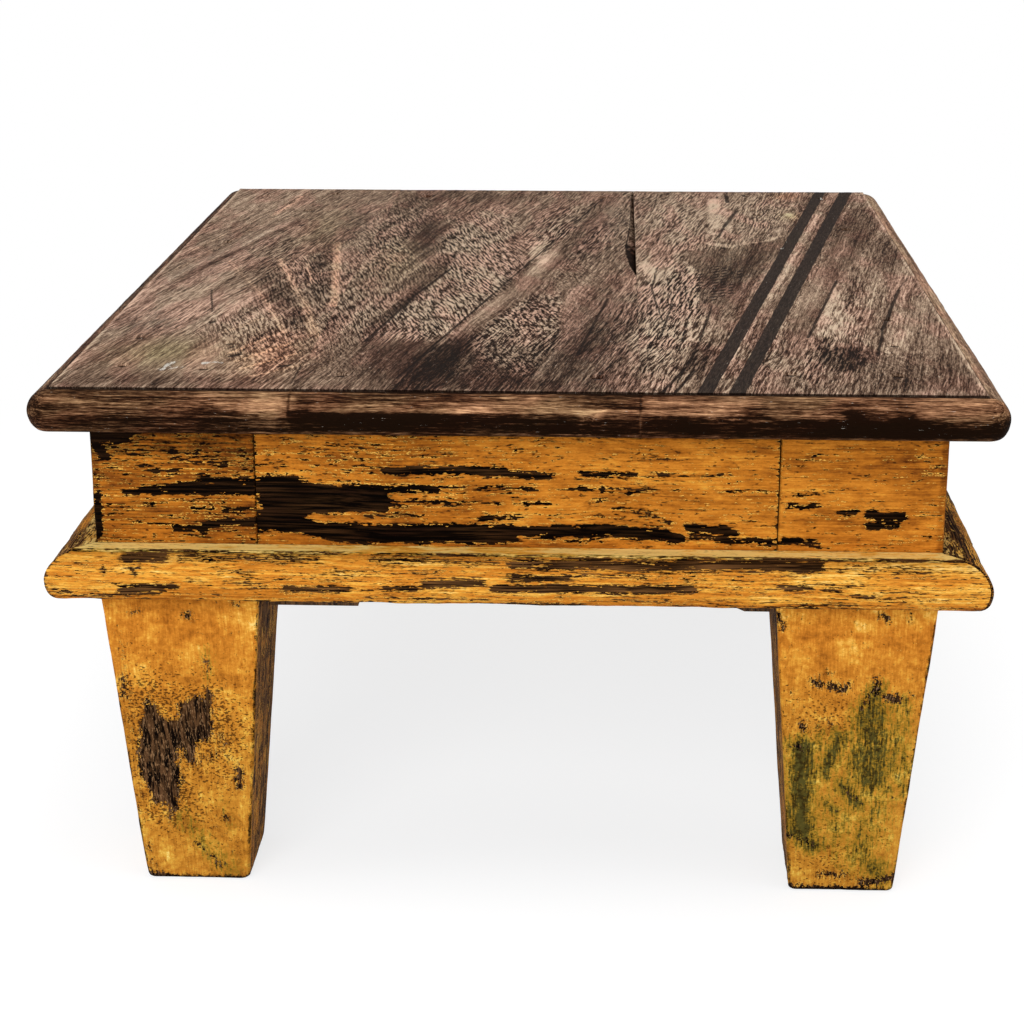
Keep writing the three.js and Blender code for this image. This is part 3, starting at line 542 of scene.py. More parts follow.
@dataclass
class Surface:
    """A closed surface in mm, as points and faces that index them."""

    points: np.ndarray
    faces: list

    def build(self, name: str) -> bpy.types.Object:
        """Makes the mesh object at the origin, welded and with its faces outwards.

        Args:
            name: the object's name.

        Returns:
            The object, linked to the scene.
        """
        mesh = bpy.data.meshes.new(name)
        mesh.from_pydata((self.points * MM).tolist(), [], self.faces)
        cleaner = bmesh.new()
        cleaner.from_mesh(mesh)
        bmesh.ops.remove_doubles(cleaner, verts=cleaner.verts, dist=2e-6)
        bmesh.ops.recalc_face_normals(cleaner, faces=cleaner.faces)
        cleaner.to_mesh(mesh)
        cleaner.free()
        mesh.validate()
        made = bpy.data.objects.new(name, mesh)
        bpy.context.scene.collection.objects.link(made)
        return made


def grid_quads(index: np.ndarray) -> list:
    """Quads between neighbours of an index grid, (rows - 1) * (columns - 1) of them."""
    corners = (index[:-1, :-1], index[:-1, 1:], index[1:, 1:], index[1:, :-1])
    return np.stack(corners, axis=-1).reshape(-1, 4).tolist()


def swept(rings: np.ndarray) -> Surface:
    """A bar through closed rings, with a face across each end.

    Args:
        rings: points of shape (rings, points round, 3).

    Returns:
        The closed surface.
    """
    rows, around, _ = rings.shape
    index = np.arange(rows * around).reshape(rows, around)
    wrapped = np.concatenate([index, index[:, :1]], axis=1)
    faces = grid_quads(wrapped) + [index[0, ::-1].tolist(), index[-1].tolist()]
    return Surface(rings.reshape(-1, 3), faces)


def closed_below(sheet: np.ndarray) -> Surface:
    """A sheet whose border lies level, closed by rings of middle + (border - middle) * share.

    Args:
        sheet: points of shape (rows, columns, 3).

    Returns:
        The closed surface.
    """
    rows, columns, _ = sheet.shape
    index = np.arange(rows * columns).reshape(rows, columns)
    loop = np.concatenate([index[0, :-1], index[:-1, -1], index[-1, :0:-1], index[:0:-1, 0]])
    border = sheet.reshape(-1, 3)[loop]
    middle = border.mean(axis=0)
    shares = np.array([0.96, 0.8, 0.5, 0.2])[:, None, None]
    rings = middle + (border - middle) * shares
    below = rows * columns + np.arange(rings.size // 3).reshape(len(shares), -1)
    wrapped = np.concatenate([loop[None], below])
    wrapped = np.concatenate([wrapped, wrapped[:, :1]], axis=1)
    faces = grid_quads(index) + grid_quads(wrapped[:, ::-1]) + [below[-1].tolist()]
    return Surface(np.concatenate([sheet.reshape(-1, 3), rings.reshape(-1, 3)]), faces)


def rounded_bar(
    half_p: np.ndarray, half_q: np.ndarray, radii: np.ndarray, sides: tuple[int, int]
) -> np.ndarray:
    """Rounded rectangles, one for each station of a bar.

    Args:
        half_p: half width at each station.
        half_q: half height at each station.
        radii: corner radii of shape (stations, 4), for (-,-), (+,-), (+,+), (-,+).
        sides: steps along the two kinds of side.

    Returns:
        Points of shape (stations, points round, 2).
    """
    signs = ((-1, -1), (1, -1), (1, 1), (-1, 1))
    arcs = []
    for corner, (sp, sq) in enumerate(signs):
        angles = math.pi + (corner + np.linspace(0, 1, 6)) * math.pi / 2
        radius = radii[:, corner, None]
        p = sp * (half_p[:, None] - radius) + radius * np.cos(angles)
        q = sq * (half_q[:, None] - radius) + radius * np.sin(angles)
        arcs.append(np.stack([p, q], axis=-1))
    loop = []
    for corner in range(4):
        loop.append(arcs[corner])
        start, end = arcs[corner][:, -1:], arcs[(corner + 1) % 4][:, :1]
        share = np.linspace(0, 1, sides[corner % 2] + 1)[1:-1][None, :, None]
        loop.append(start + (end - start) * share)
    return np.concatenate(loop, axis=1)


def mould_curve(
    share: np.ndarray, width: float, quirk: float, ovolo: float, undercut: float, height: float
) -> tuple[np.ndarray, np.ndarray]:
    """The thumbnail mould of an edge, for shares of the way round it.

    The quirk is a step straight down; the ovolo and the round under it are quarter ellipses:
    out = width sin t, down = quirk + ovolo (1 - cos t), then out = width - undercut (1 - cos t),
    down = quirk + ovolo + (height - quirk - ovolo) sin t.

    Args:
        share: places on it, from 0 at its start to 1 at the underside.
        width: how far it stands out, in mm.
        quirk: height of the step.
        ovolo: height of the curve under it.
        undercut: how far its foot falls back.
        height: of the whole mould.

    Returns:
        How far out and how far down the places are, in mm.
    """
    step = 0.12
    nose = 0.56
    t = np.clip((share - step) / (nose - step), 0, 1) * math.pi / 2
    s = np.clip((share - nose) / (1 - nose), 0, 1) * math.pi / 2
    out = width * np.sin(t) - undercut * (1 - np.cos(s))
    down = quirk * np.clip(share / step, 0, 1) + ovolo * (1 - np.cos(t))
    return out, down + (height - quirk - ovolo) * np.sin(s)


# Finishes

# Nodes used often: their type, its settings, the inputs that the values go to, and the output that is read
RECIPES = {
    "BLEND": ("Mix", {"data_type": "RGBA"}, (0, 6, 7), 2),
    "TINGE": ("Mix", {"data_type": "RGBA", "blend_type": "MULTIPLY"}, (0, 6, 7), 2),
    "BETWEEN": ("Mix", {"data_type": "FLOAT"}, (0, 2, 3), 0),
    "STEP": ("MapRange", {"interpolation_type": "SMOOTHSTEP"}, (0, 1, 2), 0),
}


class Graph:
    """The node tree of a material or of the world."""

    def __init__(self, owner: bpy.types.Material | bpy.types.World) -> None:
        """Takes the owner's tree and empties it."""
        self.owner = owner
        owner.use_nodes = True
        self.tree = owner.node_tree
        self.tree.nodes.clear()

    def add(self, kind: str, *values, named: dict | None = None, **settings) -> Socket | None:
        """Adds a node, sets it, and fills its inputs with links or constants.

        Args:
            kind: a name in RECIPES, a Math operation in capitals, or a type without "ShaderNode".
            values: sockets, numbers, vectors or colours for the first inputs, or for the recipe's.
            named: what goes to further inputs, by their names.
            settings: the node's own settings.

        Returns:
            The recipe's output or else the first, whose .node leads to the others; None if it has none.
        """
        kind, fixed, inputs, output = RECIPES.get(kind, (kind, {}, range(len(values)), 0))
        if kind.isupper():
            kind, fixed = "Math", {"operation": kind}
        node = self.tree.nodes.new("ShaderNode" + kind)
        for key, value in (fixed | settings).items():
            setattr(node, key, value)
        for key, value in [*zip(inputs, values), *(named or {}).items()]:
            if isinstance(value, Socket):
                self.tree.links.new(value, node.inputs[key])
            else:
                node.inputs[key].default_value = value
        return node.outputs[output] if node.outputs else None

    def stir(self, value: Socket, noise: Socket, amount: float) -> Socket:
        """A value moved up and down by a noise about one half, times an amount."""
        return self.add("MULTIPLY_ADD", self.add("SUBTRACT", noise, 0.5), amount, value)

    def channels(self, attribute: str) -> tuple[Socket, ...]:
        """The four numbers of a colour attribute.

        Args:
            attribute: its name.

        Returns:
            Its red, green, blue and alpha.
        """
        read = self.add("Attribute", attribute_name=attribute).node
        split = self.add("SeparateColor", read.outputs["Color"]).node
        return *split.outputs[:3], read.outputs["Alpha"]

    def grain(
        self, at: Socket, length: float, width: float, depth: float, rough: float, seed: float
    ) -> Socket:
        """Noise whose marks lie along the fibres.

        Args:
            at: fibre coordinates in mm, the first along the fibres.
            length: how long the marks are, in mm.
            width: how wide they are, in mm.
            depth: layers of finer noise on them.
            rough: how strong each next layer is.
            seed: where in the noise the piece lies.

        Returns:
            The noise, about one half.
        """
        scaled = self.add("VectorMath", at, (1 / length, 1 / width, 1 / width), operation="MULTIPLY")
        placed = self.add("VectorMath", scaled, (seed, seed * 1.7, seed * 0.6), operation="ADD")
        return self.add("TexNoise", placed, named={"Scale": 1.0, "Detail": depth, "Roughness": rough})

    def finish(
        self, colour: Socket, rough: Socket, height: Socket, relief: float, **constants: float
    ) -> bpy.types.Material:
        """Ends the tree in a principled surface with a bump.

        Args:
            colour: the colour.
            rough: the roughness.
            height: the height, 0 to 1.
            relief: what a height of 1 measures, in mm.
            constants: values of other inputs, by name with _ for a space.

        Returns:
            The material.
        """
        bump = self.add("Bump", named={"Strength": 1.0, "Distance": relief * MM, "Height": height})
        named = {"Base Color": colour, "Roughness": rough, "Normal": bump}
        named |= {key.replace("_", " "): value for key, value in constants.items()}
        self.add("OutputMaterial", self.add("BsdfPrincipled", named=named))
        return self.owner


def graded(ramp: Socket, stops: dict[float, str]) -> Socket:
    """Gives a colour ramp its stops.

    Args:
        ramp: the ramp's output.
        stops: sRGB colours by their shares from 0 to 1.

    Returns:
        The same output.
    """
    elements = ramp.node.color_ramp.elements
    for share in list(stops)[1:-1]:
        elements.new(share)
    for element, code in zip(elements, stops.values()):
        element.color = linear(code)
    return ramp


class Finish(ABC):
    """A finish that makes its material once."""

    @abstractmethod
    def dress(self) -> bpy.types.Material:
        """Makes the material."""


@dataclass(frozen=True)
class OldTopWood(Finish):
    """Dark hardwood boards, band-sawn once and then worn, waxed and stained by years of use.

    Torn fibres lean one way and the saw's lines the other, by the given shares of x to y. The fibres are
    short strands about 1 mm across, dry enough to shine hardly at all.
    """

    fibre_length: float = 13.0
    fibre_width: float = 1.1
    fibre_lean: float = -0.25
    saw_lean: float = 0.18
    relief: float = 0.4

    BROWNS = {
        0.0: "#150b06", 0.16: "#38241a", 0.28: "#503a2e", 0.4: "#664e41",
        0.53: "#7e6454", 0.68: "#987c6b", 0.83: "#b39681", 1.0: "#cfb29c",
    }

    def dress(self) -> bpy.types.Material:
        """A level from streaks, fibres and placed tones, through a palette of one dark hardwood.

        Returns:
            The material.
        """
        g = Graph(bpy.data.materials.new("weathered_dark_hardwood"))
        place = g.add("Attribute", attribute_name="grain").node.outputs["Vector"]
        tone, strength, green, edge = g.channels("tone")
        dark, line, light, fleck = g.channels("marks")
        crossed, grey, crumbly, warm = g.channels("lay")
        sawn, torn = self.leaning(g, place, self.saw_lean), self.leaning(g, place, self.fibre_lean)
        broad = g.grain(sawn, 120, 7, 3, 0.6, 3.1)
        streak = g.grain(sawn, 70, 1.5, 3, 0.6, 7.7)
        fine = g.grain(sawn, 4.5, 0.45, 3, 0.7, 11.3)
        straight = g.grain(sawn, self.fibre_length, self.fibre_width, 3, 0.7, 0)
        slanted = g.grain(torn, self.fibre_length * 0.8, self.fibre_width, 3, 0.7, 5)
        crumb = g.grain(torn, 5, 1.3, 3, 0.7, 23)
        raw = g.add("BETWEEN", crumbly, g.add("BETWEEN", crossed, straight, slanted), crumb)
        fibre, gaps = g.add("STEP", raw, 0.485, 0.545), g.add("STEP", raw, 0.475, 0.4)
        # How light the wood is: its tone and streaks, then fibres up, gaps down, and the pale places
        level = g.stir(g.stir(g.stir(tone, broad, 0.9), streak, 0.9), fine, 1.6)
        lift = g.add("MULTIPLY_ADD", strength, 0.6, 0.1)
        level = g.add("MULTIPLY_ADD", g.add("SUBTRACT", fibre, 0.5), lift, level)
        level = g.add("MULTIPLY_ADD", gaps, g.add("MULTIPLY_ADD", strength, -0.22, -0.05), level)
        pale = g.add("STEP", g.stir(light, crumb, 1.3), 0.3, 0.6)
        level = g.add("MULTIPLY_ADD", pale, 0.3, level)
        colour = graded(g.add("ValToRGB", level), self.BROWNS)
        mottle = g.add("STEP", g.grain(place, 40, 16, 2, 0.55, 19), 0.42, 0.62)
        mottled = g.add("BLEND", mottle, (0.95, 1.0, 0.94, 1), (1.05, 0.97, 0.94, 1))
        colour = g.add("TINGE", 1.0, colour, mottled)
        colour = g.add("TINGE", edge, colour, (1.12, 0.94, 0.68, 1))
        colour = g.add("TINGE", warm, colour, (1.22, 0.95, 0.72, 1))
        hollow = g.add("MULTIPLY", grey, g.add("SUBTRACT", 1.0, fibre))
        colour = g.add("TINGE", hollow, colour, (0.86, 0.98, 1.08, 1))
        colour = g.add("TINGE", green, colour, (0.88, 1.02, 0.74, 1))
        # Marks over it: burnt stripes, dark lines and flecks of white
        stripe = g.add("STEP", g.stir(dark, streak, 0.3), 0.44, 0.54)
        scratch = g.add("STEP", g.stir(line, fine, 0.5), 0.49, 0.59)
        soot = g.add("BLEND", g.add("STEP", fine, 0.35, 0.68), linear("#130d0a"), linear("#342a24"))
        colour = g.add("BLEND", g.add("MULTIPLY", stripe, 0.96), colour, soot)
        colour = g.add("BLEND", g.add("MULTIPLY", scratch, 0.86), colour, linear("#150c08"))
        white = g.add("STEP", g.stir(g.stir(fleck, fine, 2.2), crumb, 1.2), 0.5, 0.62)
        colour = g.add("BLEND", g.add("MULTIPLY", white, 0.85), colour, linear("#c9c3b8"))
        high = g.add("MULTIPLY", fibre, g.add("MULTIPLY_ADD", strength, 0.5, 0.12))
        for part, amount in ((fine, 0.35), (streak, 0.2), (scratch, -0.8), (stripe, -0.3)):
            high = g.add("MULTIPLY_ADD", part, amount, high)
        rough = g.add("MULTIPLY_ADD", fine, 0.3, 0.5)
        return g.finish(colour, rough, high, self.relief, Specular_IOR_Level=0.015)

    @staticmethod
    def leaning(g: Graph, place: Socket, lean: float) -> Socket:
        """Fibre coordinates turned so that the fibres lean.

        Args:
            g: the graph.
            place: coordinates along and across the fibres.
            lean: how far they lean, as a share of x to y.

        Returns:
            The turned coordinates.
        """
        parts = g.add("SeparateXYZ", place).node.outputs
        across = g.add("MULTIPLY_ADD", parts[0], -lean, parts[1])
        return g.add("CombineXYZ", parts[0], across, parts[2])


@dataclass(frozen=True)
class OldPaint(Finish):
    """Ochre yellow brushed on dark wood, rubbed through along the fibres and chipped at its edges.

    The film is chalky and about 0.3 mm thick, so its edges show in its relief and it hardly shines. A pale
    rim is painted round the bare places as a highlight on those edges.
    """

    chip_length: float = 9.0
    chip_width: float = 0.9
    film: float = 0.3

    OCHRES = {
        0.0: "#452008", 0.15: "#784113", 0.3: "#9c5a19", 0.45: "#ba7021",
        0.6: "#cd8029", 0.75: "#de9936", 0.88: "#efb44e", 1.0: "#fbd47c",
    }

    def dress(self) -> bpy.types.Material:
        """Bare where the wear and the chips together pass one half, and thin and brown just before that.

        Returns:
            The material.
        """
        g = Graph(bpy.data.materials.new("distressed_ochre_paint"))
        fibres = g.add("Attribute", attribute_name="grain").node.outputs["Vector"]
        wear, grime, tint, wood = g.channels("paint")
        # The soot channel carries painted shade under the top and in the moulding's creases, as well as soot
        specks, soot, faded, scored = g.channels("dirt_and_shade")
        chips = g.grain(fibres, self.chip_length, self.chip_width, 2, 0.6, 0)
        crumbs = g.grain(fibres, 2.4, 1, 2, 0.6, 4.2)
        broad = g.grain(fibres, 46, 12, 3, 0.6, 9.1)
        patchy = g.grain(fibres, 10, 2.6, 3, 0.65, 27)
        brushed = g.grain(fibres, 34, 0.7, 3, 0.6, 14)
        speckle = g.grain(fibres, 1.8, 0.9, 3, 0.7, 21)
        dots = g.grain(fibres, 3.2, 1.2, 1, 0.5, 52)
        # The film: its ochre, faded in places, pitted, and thin and brown towards the bare places
        state = g.stir(g.stir(wear, chips, 1.2), crumbs, 1.1)
        bare, thin = g.add("STEP", state, 0.49, 0.53), g.add("STEP", state, 0.2, 0.5)
        hue = tint
        for noise, amount in ((broad, 1.0), (patchy, 0.8), (brushed, 0.55), (speckle, 0.35)):
            hue = g.stir(hue, noise, amount)
        colour = graded(g.add("ValToRGB", hue), self.OCHRES)
        colour = g.add("TINGE", faded, colour, (0.92, 1.14, 1.3, 1))
        depth = g.add("MULTIPLY_ADD", specks, 0.26, g.add("SUBTRACT", dots, 0.77))
        pits = g.add("MapRange", depth, 0.0, 0.05)
        colour = g.add("BLEND", g.add("MULTIPLY", pits, 0.8), colour, linear("#2f1608"))
        colour = g.add("BLEND", g.add("MULTIPLY", thin, 0.6), colour, linear("#64360f"))
        # A pale rim round the bare places: a painted highlight on the film's broken edges
        painted_rim_highlight = g.add("MULTIPLY", g.add("STEP", state, 0.36, 0.42), g.add("STEP", state, 0.49, 0.47))
        lit = g.add("MULTIPLY", painted_rim_highlight, g.add("STEP", brushed, 0.45, 0.6))
        colour = g.add("BLEND", lit, colour, linear("#eeb551"))
        # Smears over it, olive where they are thin and nearly black where they are thick
        smear = g.stir(g.stir(g.stir(grime, brushed, 1.5), chips, 0.9), crumbs, 0.8)
        smeared = g.add("STEP", grime, 0.02, 0.25)
        faint = g.add("MULTIPLY", g.add("STEP", smear, 0.05, 0.6), g.add("MULTIPLY", smeared, 0.75))
        colour = g.add("BLEND", faint, colour, linear("#86701f"))
        soiled = g.add("BLEND", g.add("STEP", patchy, 0.38, 0.62), linear("#17150b"), linear("#46421e"))
        heavy = g.add("MULTIPLY", g.add("STEP", smear, 0.38, 0.85), g.add("MULTIPLY", smeared, 0.92))
        colour = g.add("BLEND", heavy, colour, soiled)
        # The wood under it, scratched pale in places
        planks = g.grain(fibres, 34, 1, 3, 0.6, 31)
        scratches = g.add("STEP", g.grain(fibres, 8, 0.5, 2, 0.6, 41), 0.56, 0.64)
        dark = g.add("BLEND", g.add("STEP", planks, 0.45, 0.75), linear("#040201"), linear("#22110a"))
        brown = g.add("BLEND", g.add("STEP", planks, 0.4, 0.64), linear("#170a05"), linear("#a5713f"))
        under = g.add("TINGE", faded, g.add("BLEND", wood, dark, brown), (1.0, 1.1, 1.5, 1))
        under = g.add("BLEND", g.add("MULTIPLY", scratches, scored), under, linear("#b58a60"))
        colour = g.add("BLEND", bare, colour, under)
        # Soot and painted shade over both, near black
        stirred_soot_and_shade = g.stir(g.stir(soot, chips, 1.2), crumbs, 0.8)
        soot_and_shade_cover = g.add("MULTIPLY", g.add("STEP", soot, 0.0, 0.2), 0.92)
        soot_and_shade_cover = g.add("MULTIPLY", g.add("STEP", stirred_soot_and_shade, 0.15, 0.85), soot_and_shade_cover)
        colour = g.add("BLEND", soot_and_shade_cover, colour, linear("#120804"))
        high = g.add("MULTIPLY", g.add("SUBTRACT", 1.0, bare), 0.6)
        for part, amount in ((brushed, 0.15), (speckle, 0.4), (pits, -0.3)):
            high = g.add("MULTIPLY_ADD", part, amount, high)
        rough = g.add("MULTIPLY_ADD", bare, 0.1, g.add("MULTIPLY_ADD", speckle, 0.3, 0.45))
        return g.finish(colour, rough, high, self.film, Specular_IOR_Level=0.015)


@dataclass(frozen=True)
class PlainWood(Finish):
    """Sawn wood with no finish, darkened by age; its fibres run along one axis of the object."""

    name: str
    pale: str
    deep: str
    along: tuple[int, int, int]
    width: float = 0.9
    length: float = 24.0
    pores: float = 1.4

    def dress(self) -> bpy.types.Material:
        """Streaks of two browns along the fibres, with pores and saw marks in the relief.

        Returns:
            The material.
        """
        g = Graph(bpy.data.materials.new(self.name))
        place = g.add("TexCoord").node.outputs["Object"]
        stretch = tuple((1 / self.length if a else 1 / self.width) / MM for a in self.along)
        fibres = g.add("VectorMath", place, stretch, operation="MULTIPLY")
        streaks = g.add("TexNoise", fibres, named={"Scale": 1.0, "Detail": 4.0, "Roughness": 0.62})
        scale = 1 / (self.pores * MM)
        fine = g.add("TexNoise", place, named={"Scale": scale, "Detail": 2.0, "Roughness": 0.6})
        colour = g.add("BLEND", g.add("STEP", streaks, 0.32, 0.7), linear(self.deep), linear(self.pale))
        pored = g.add("MULTIPLY", g.add("STEP", fine, 0.55, 0.75), 0.5)
        colour = g.add("BLEND", pored, colour, linear(self.deep))
        rough = g.add("MULTIPLY_ADD", fine, 0.3, 0.6)
        high = g.add("MULTIPLY_ADD", streaks, 0.7, g.add("MULTIPLY", fine, 0.3))
        return g.finish(colour, rough, high, 0.4, Specular_IOR_Level=0.25)


@dataclass(frozen=True)
class OldIron(Finish):
    """Wrought nails, black with oxide and browned by rust."""

    grains: float = 1.0

    def dress(self) -> bpy.types.Material:
        """Oxide and rust by a noise of small grains, rough all over.

        Returns:
            The material.
        """
        g = Graph(bpy.data.materials.new("oxidised_iron"))
        place = g.add("TexCoord").node.outputs["Object"]
        scale = 1 / (self.grains * MM)
        rusty = g.add("TexNoise", place, named={"Scale": scale, "Detail": 3.0, "Roughness": 0.6})
        colour = g.add("BLEND", g.add("STEP", rusty, 0.4, 0.65), linear("#17120f"), linear("#3f2417"))
        rough = g.add("MULTIPLY_ADD", rusty, 0.3, 0.55)
        return g.finish(colour, rough, rusty, 0.15, Metallic=0.6)


# Pieces


def put(made: bpy.types.Object, name: str, *columns: np.ndarray | float) -> None:
    """Stores an attribute of the vertices: three columns as a vector, four as a colour.

    Args:
        made: the mesh object.
        name: the attribute's name.
        columns: a number for each vertex, or one for all of them.
    """
    kind, key = ("FLOAT_VECTOR", "vector") if len(columns) == 3 else ("FLOAT_COLOR", "color")
    values = np.stack(np.broadcast_arrays(*columns), axis=1).astype(np.float32)
    made.data.attributes.new(name, kind, "POINT").data.foreach_set(key, values.ravel())


def vertices(made: bpy.types.Object) -> np.ndarray:
    """Reads a mesh's vertices.

    Args:
        made: the mesh object.

    Returns:
        Rows of x, y, z in mm.
    """
    flat = np.empty(len(made.data.vertices) * 3)
    made.data.vertices.foreach_get("co", flat)
    return flat.reshape(-1, 3) / MM


def stations(low: np.ndarray, middle: np.ndarray, high: np.ndarray) -> tuple[np.ndarray, ...]:
    """Grid lines over a field, and round an edge or down a face beyond each of its ends.

    Args:
        low: rising shares of the way round the edge, or down the face, at the lower end.
        middle: places across the field, in mm.
        high: the same shares at the upper end.

    Returns:
        For each line its place, its share (0 on the field) and its side (-1, 0 or 1).
    """
    sizes = [len(low), len(middle), len(high)]
    places = np.repeat([middle[0], 0, middle[-1]], sizes)
    places[sizes[0] : sizes[0] + sizes[1]] = middle
    shares = np.concatenate([low[::-1], np.zeros(len(middle)), high])
    return places, shares, np.repeat([-1.0, 0.0, 1.0], sizes)


@dataclass
class Piece(ABC):
    """One wooden piece that stands for a CAD node."""

    node: str
    seed: int

    @abstractmethod
    def surface(self) -> Surface:
        """The piece's closed surface in the object's frame, in mm."""

    @abstractmethod
    def colour_in(self, made: bpy.types.Object) -> None:
        """Gives the mesh the attributes that its finish reads."""

    def make(self, material: bpy.types.Material, slot: str) -> bpy.types.Object:
        """Builds and dresses the piece, hangs it under the root body and hides the CAD node that it stands
        for.

        Args:
            material: its finish.
            slot: the record's material slot; not used.

        Returns:
            The object.
        """
        made = self.surface().build("look_" + self.node)
        self.colour_in(made)
        made.data.materials.append(material)
        made.data.shade_smooth()
        made.data.set_sharp_from_angle(angle=math.radians(50))
        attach(made, "root")
        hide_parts(self.node)
        LOG.info("%s: %d faces", made.name, len(made.data.polygons))
        return made


@dataclass(frozen=True)
class TopPlaces:
    """The vertices of a top board in mm, and masks of the faces that they lie on.

    `past` is how far a vertex lies outside the flat field, `drop` how far below its height, and `ragged` its
    x with a waver of under a millimetre. `front` is the nose at front and back, `side` that at the sides.
    """

    x: np.ndarray
    y: np.ndarray
    z: np.ndarray
    drop: np.ndarray
    past: np.ndarray
    ragged: np.ndarray
    front: np.ndarray
    side: np.ndarray
    wall: np.ndarray
    flat: np.ndarray


@dataclass
class TopBoard(Piece):
    """A board of the top, from one joint or outer edge to the next, with its part of the thumbnail edge.

    The upper sheet is a grid whose border columns and rows run round the mould; where both do, at an outer
    corner, the square of the grid is bent to a quarter disc round the corner of the field.
    """

    left: float
    right: float
    tone: float
    nails: tuple[tuple[float, float], ...]
    wane: bool = False
    step_x: float = 0.9
    step_y: float = 1.35
    edge_width: float = 10.0
    quirk: float = 1.2
    ovolo: float = 8.8
    undercut: float = 5.5
    edge_rows: int = 38
    wall_rows: int = 8
    joint_gap: float = 0.04
    wane_reach: float = 12.0

    # How far the waney arris falls back at places along y, in mm
    WANE_PLACES = (-13, 0, 15, 40, 55, 68, 85, 105, 127, 165, 208, 226, 233)
    WANE_FALLS = (0, 1.6, 3.4, 5.0, 5.6, 5.8, 4.8, 3.8, 3.1, 2.3, 1.7, 1.2, 0)

    def joint_line(self, y: np.ndarray, side: int, depth: np.ndarray) -> np.ndarray:
        """x of a joint's face, which the waney stretch leaves at its top and meets again 4 mm down.

        Args:
            y: places along the joint.
            side: -1 for the left joint, 1 for the right.
            depth: how far below the top face.

        Returns:
            x in mm.
        """
        base = self.right - self.joint_gap if side > 0 else self.left + self.joint_gap
        if not self.wane or side < 0:
            return np.full(np.broadcast(y, depth).shape, base)
        ragged = 0.4 * Noise(77).layered(y / 6.0, y * 0 + 2.5) * (np.abs(y - 110) < 115)
        fall = np.interp(y, self.WANE_PLACES, self.WANE_FALLS) + ragged
        return base - np.maximum(fall, 0) * np.clip(1 - depth / 4.2, 0, 1) ** 0.7

    def surface(self) -> Surface:
        """The upper sheet with its edges and joint faces, over a flat underside.

        Returns:
            The closed surface.
        """
        field_x, field_y = HALF_WIDTH - self.edge_width, HALF_DEPTH - self.edge_width
        left, right = max(self.left + self.joint_gap, -field_x), min(self.right - self.joint_gap, field_x)
        xs = np.linspace(left, right, round((right - left) / self.step_x) + 1)
        ys = np.linspace(-field_y, field_y, round(2 * field_y / self.step_y) + 1)
        edge = np.linspace(0, 1, self.edge_rows)[1:]
        wall = np.linspace(0, 1, self.wall_rows + 1)[1:] ** 1.8
        low, high = (edge if abs(end) >= HALF_WIDTH else wall for end in (self.left, self.right))
        place_x, share_x, side_x = stations(low, xs, high)
        place_y, share_y, side_y = stations(edge, ys, edge)
        joint = ((side_x < 0) & (self.left > -HALF_WIDTH)) | ((side_x > 0) & (self.right < HALF_WIDTH))
        # The field and the mould round it, bent from one side to the next at an outer corner
        across = np.where(joint, 0, share_x)[:, None] + 0 * share_y
        along = share_y + 0 * across
        share = np.maximum(across, along)
        height = TABLE_HEIGHT - UNDER_TOP
        out, down = mould_curve(share, self.edge_width, self.quirk, self.ovolo, self.undercut, height)
        with np.errstate(divide="ignore", invalid="ignore"):
            bend = np.where(across >= along, along / across, 2 - across / along) * math.pi / 4
        bend = np.where(share > 0, np.nan_to_num(bend), 0)
        x = place_x[:, None] + side_x[:, None] * out * np.cos(bend) * (across > 0)
        y = place_y + side_y * out * np.sin(bend) * (along > 0)
        x, y, z = self.worn(x, y, TABLE_HEIGHT - down, share)
        # Down the faces of the joints, and the field pulled back to the waney arris
        spread = np.linspace(-field_y - 4.5, field_y + 4.5, len(place_y))
        for sign, last in ((-1, len(low)), (1, len(low) + len(xs) - 1)):
            lines = joint & (side_x == sign)
            share = share_x[lines][:, None]
            y[lines] = y[last] + (spread - y[last]) * share
            z[lines] = z[last] + (UNDER_TOP - z[last]) * share
            x[lines] = self.joint_line(y[lines], sign, TABLE_HEIGHT - z[lines])
        field, straight = side_x == 0, self.right - self.joint_gap
        near = np.clip(1 - np.abs(x[field] - straight) / self.wane_reach, 0, 1)
        x[field] += (self.joint_line(y[field], 1, 0 * y[field]) - straight) * near
        sheet = np.stack([x, y, z], axis=-1)
        sheet[[0, -1], :, 2] = UNDER_TOP
        sheet[:, [0, -1], 2] = UNDER_TOP
        return closed_below(sheet)

    def worn(self, x: np.ndarray, y: np.ndarray, z: np.ndarray, share: np.ndarray) -> tuple[np.ndarray, ...]:
        """Old wear: a field that is no longer flat, a wavering nose with dents, and dishes round the nails.

        Args:
            x: places of the sheet, in mm.
            y: the same along Y.
            z: the same along Z.
            share: how far round the mould they are, 0 on the field.

        Returns:
            The worn x, y and z.
        """
        noise, shared = Noise(self.seed), Noise(5)
        on_field = 1 - smoothstep(0.0, 0.15, share)
        z = z + on_field * (0.22 * noise.layered(x / 34, y / 90) - 0.12)
        z = z + on_field * 0.07 * noise.layered(x / 2.3 + 9, y / 15)
        on_nose = smoothstep(0.2, 0.5, share) * (1 - smoothstep(0.8, 1.0, share))
        around = np.arctan2(y, x) * 220
        dent = 0.45 * shared.layered(around / 26, z / 30) + 0.25 * shared.layered(around / 6 + 40, z / 7)
        dent = dent - 0.9 * smoothstep(0.55, 0.9, shared.layered(around / 11 + 90, z / 9 + 3))
        pull = on_nose * (dent - 0.35)
        x = x + np.sign(x) * pull * (np.abs(x) > HALF_WIDTH - self.edge_width + 0.5)
        y = y + np.sign(y) * pull * (np.abs(y) > HALF_DEPTH - self.edge_width + 0.5)
        for nail_x, nail_y in self.nails:
            away = np.hypot(x - nail_x, y - nail_y)
            z = z - on_field * 2.3 * (1 - smoothstep(1.4, 3.4, away))
        return x, y, z

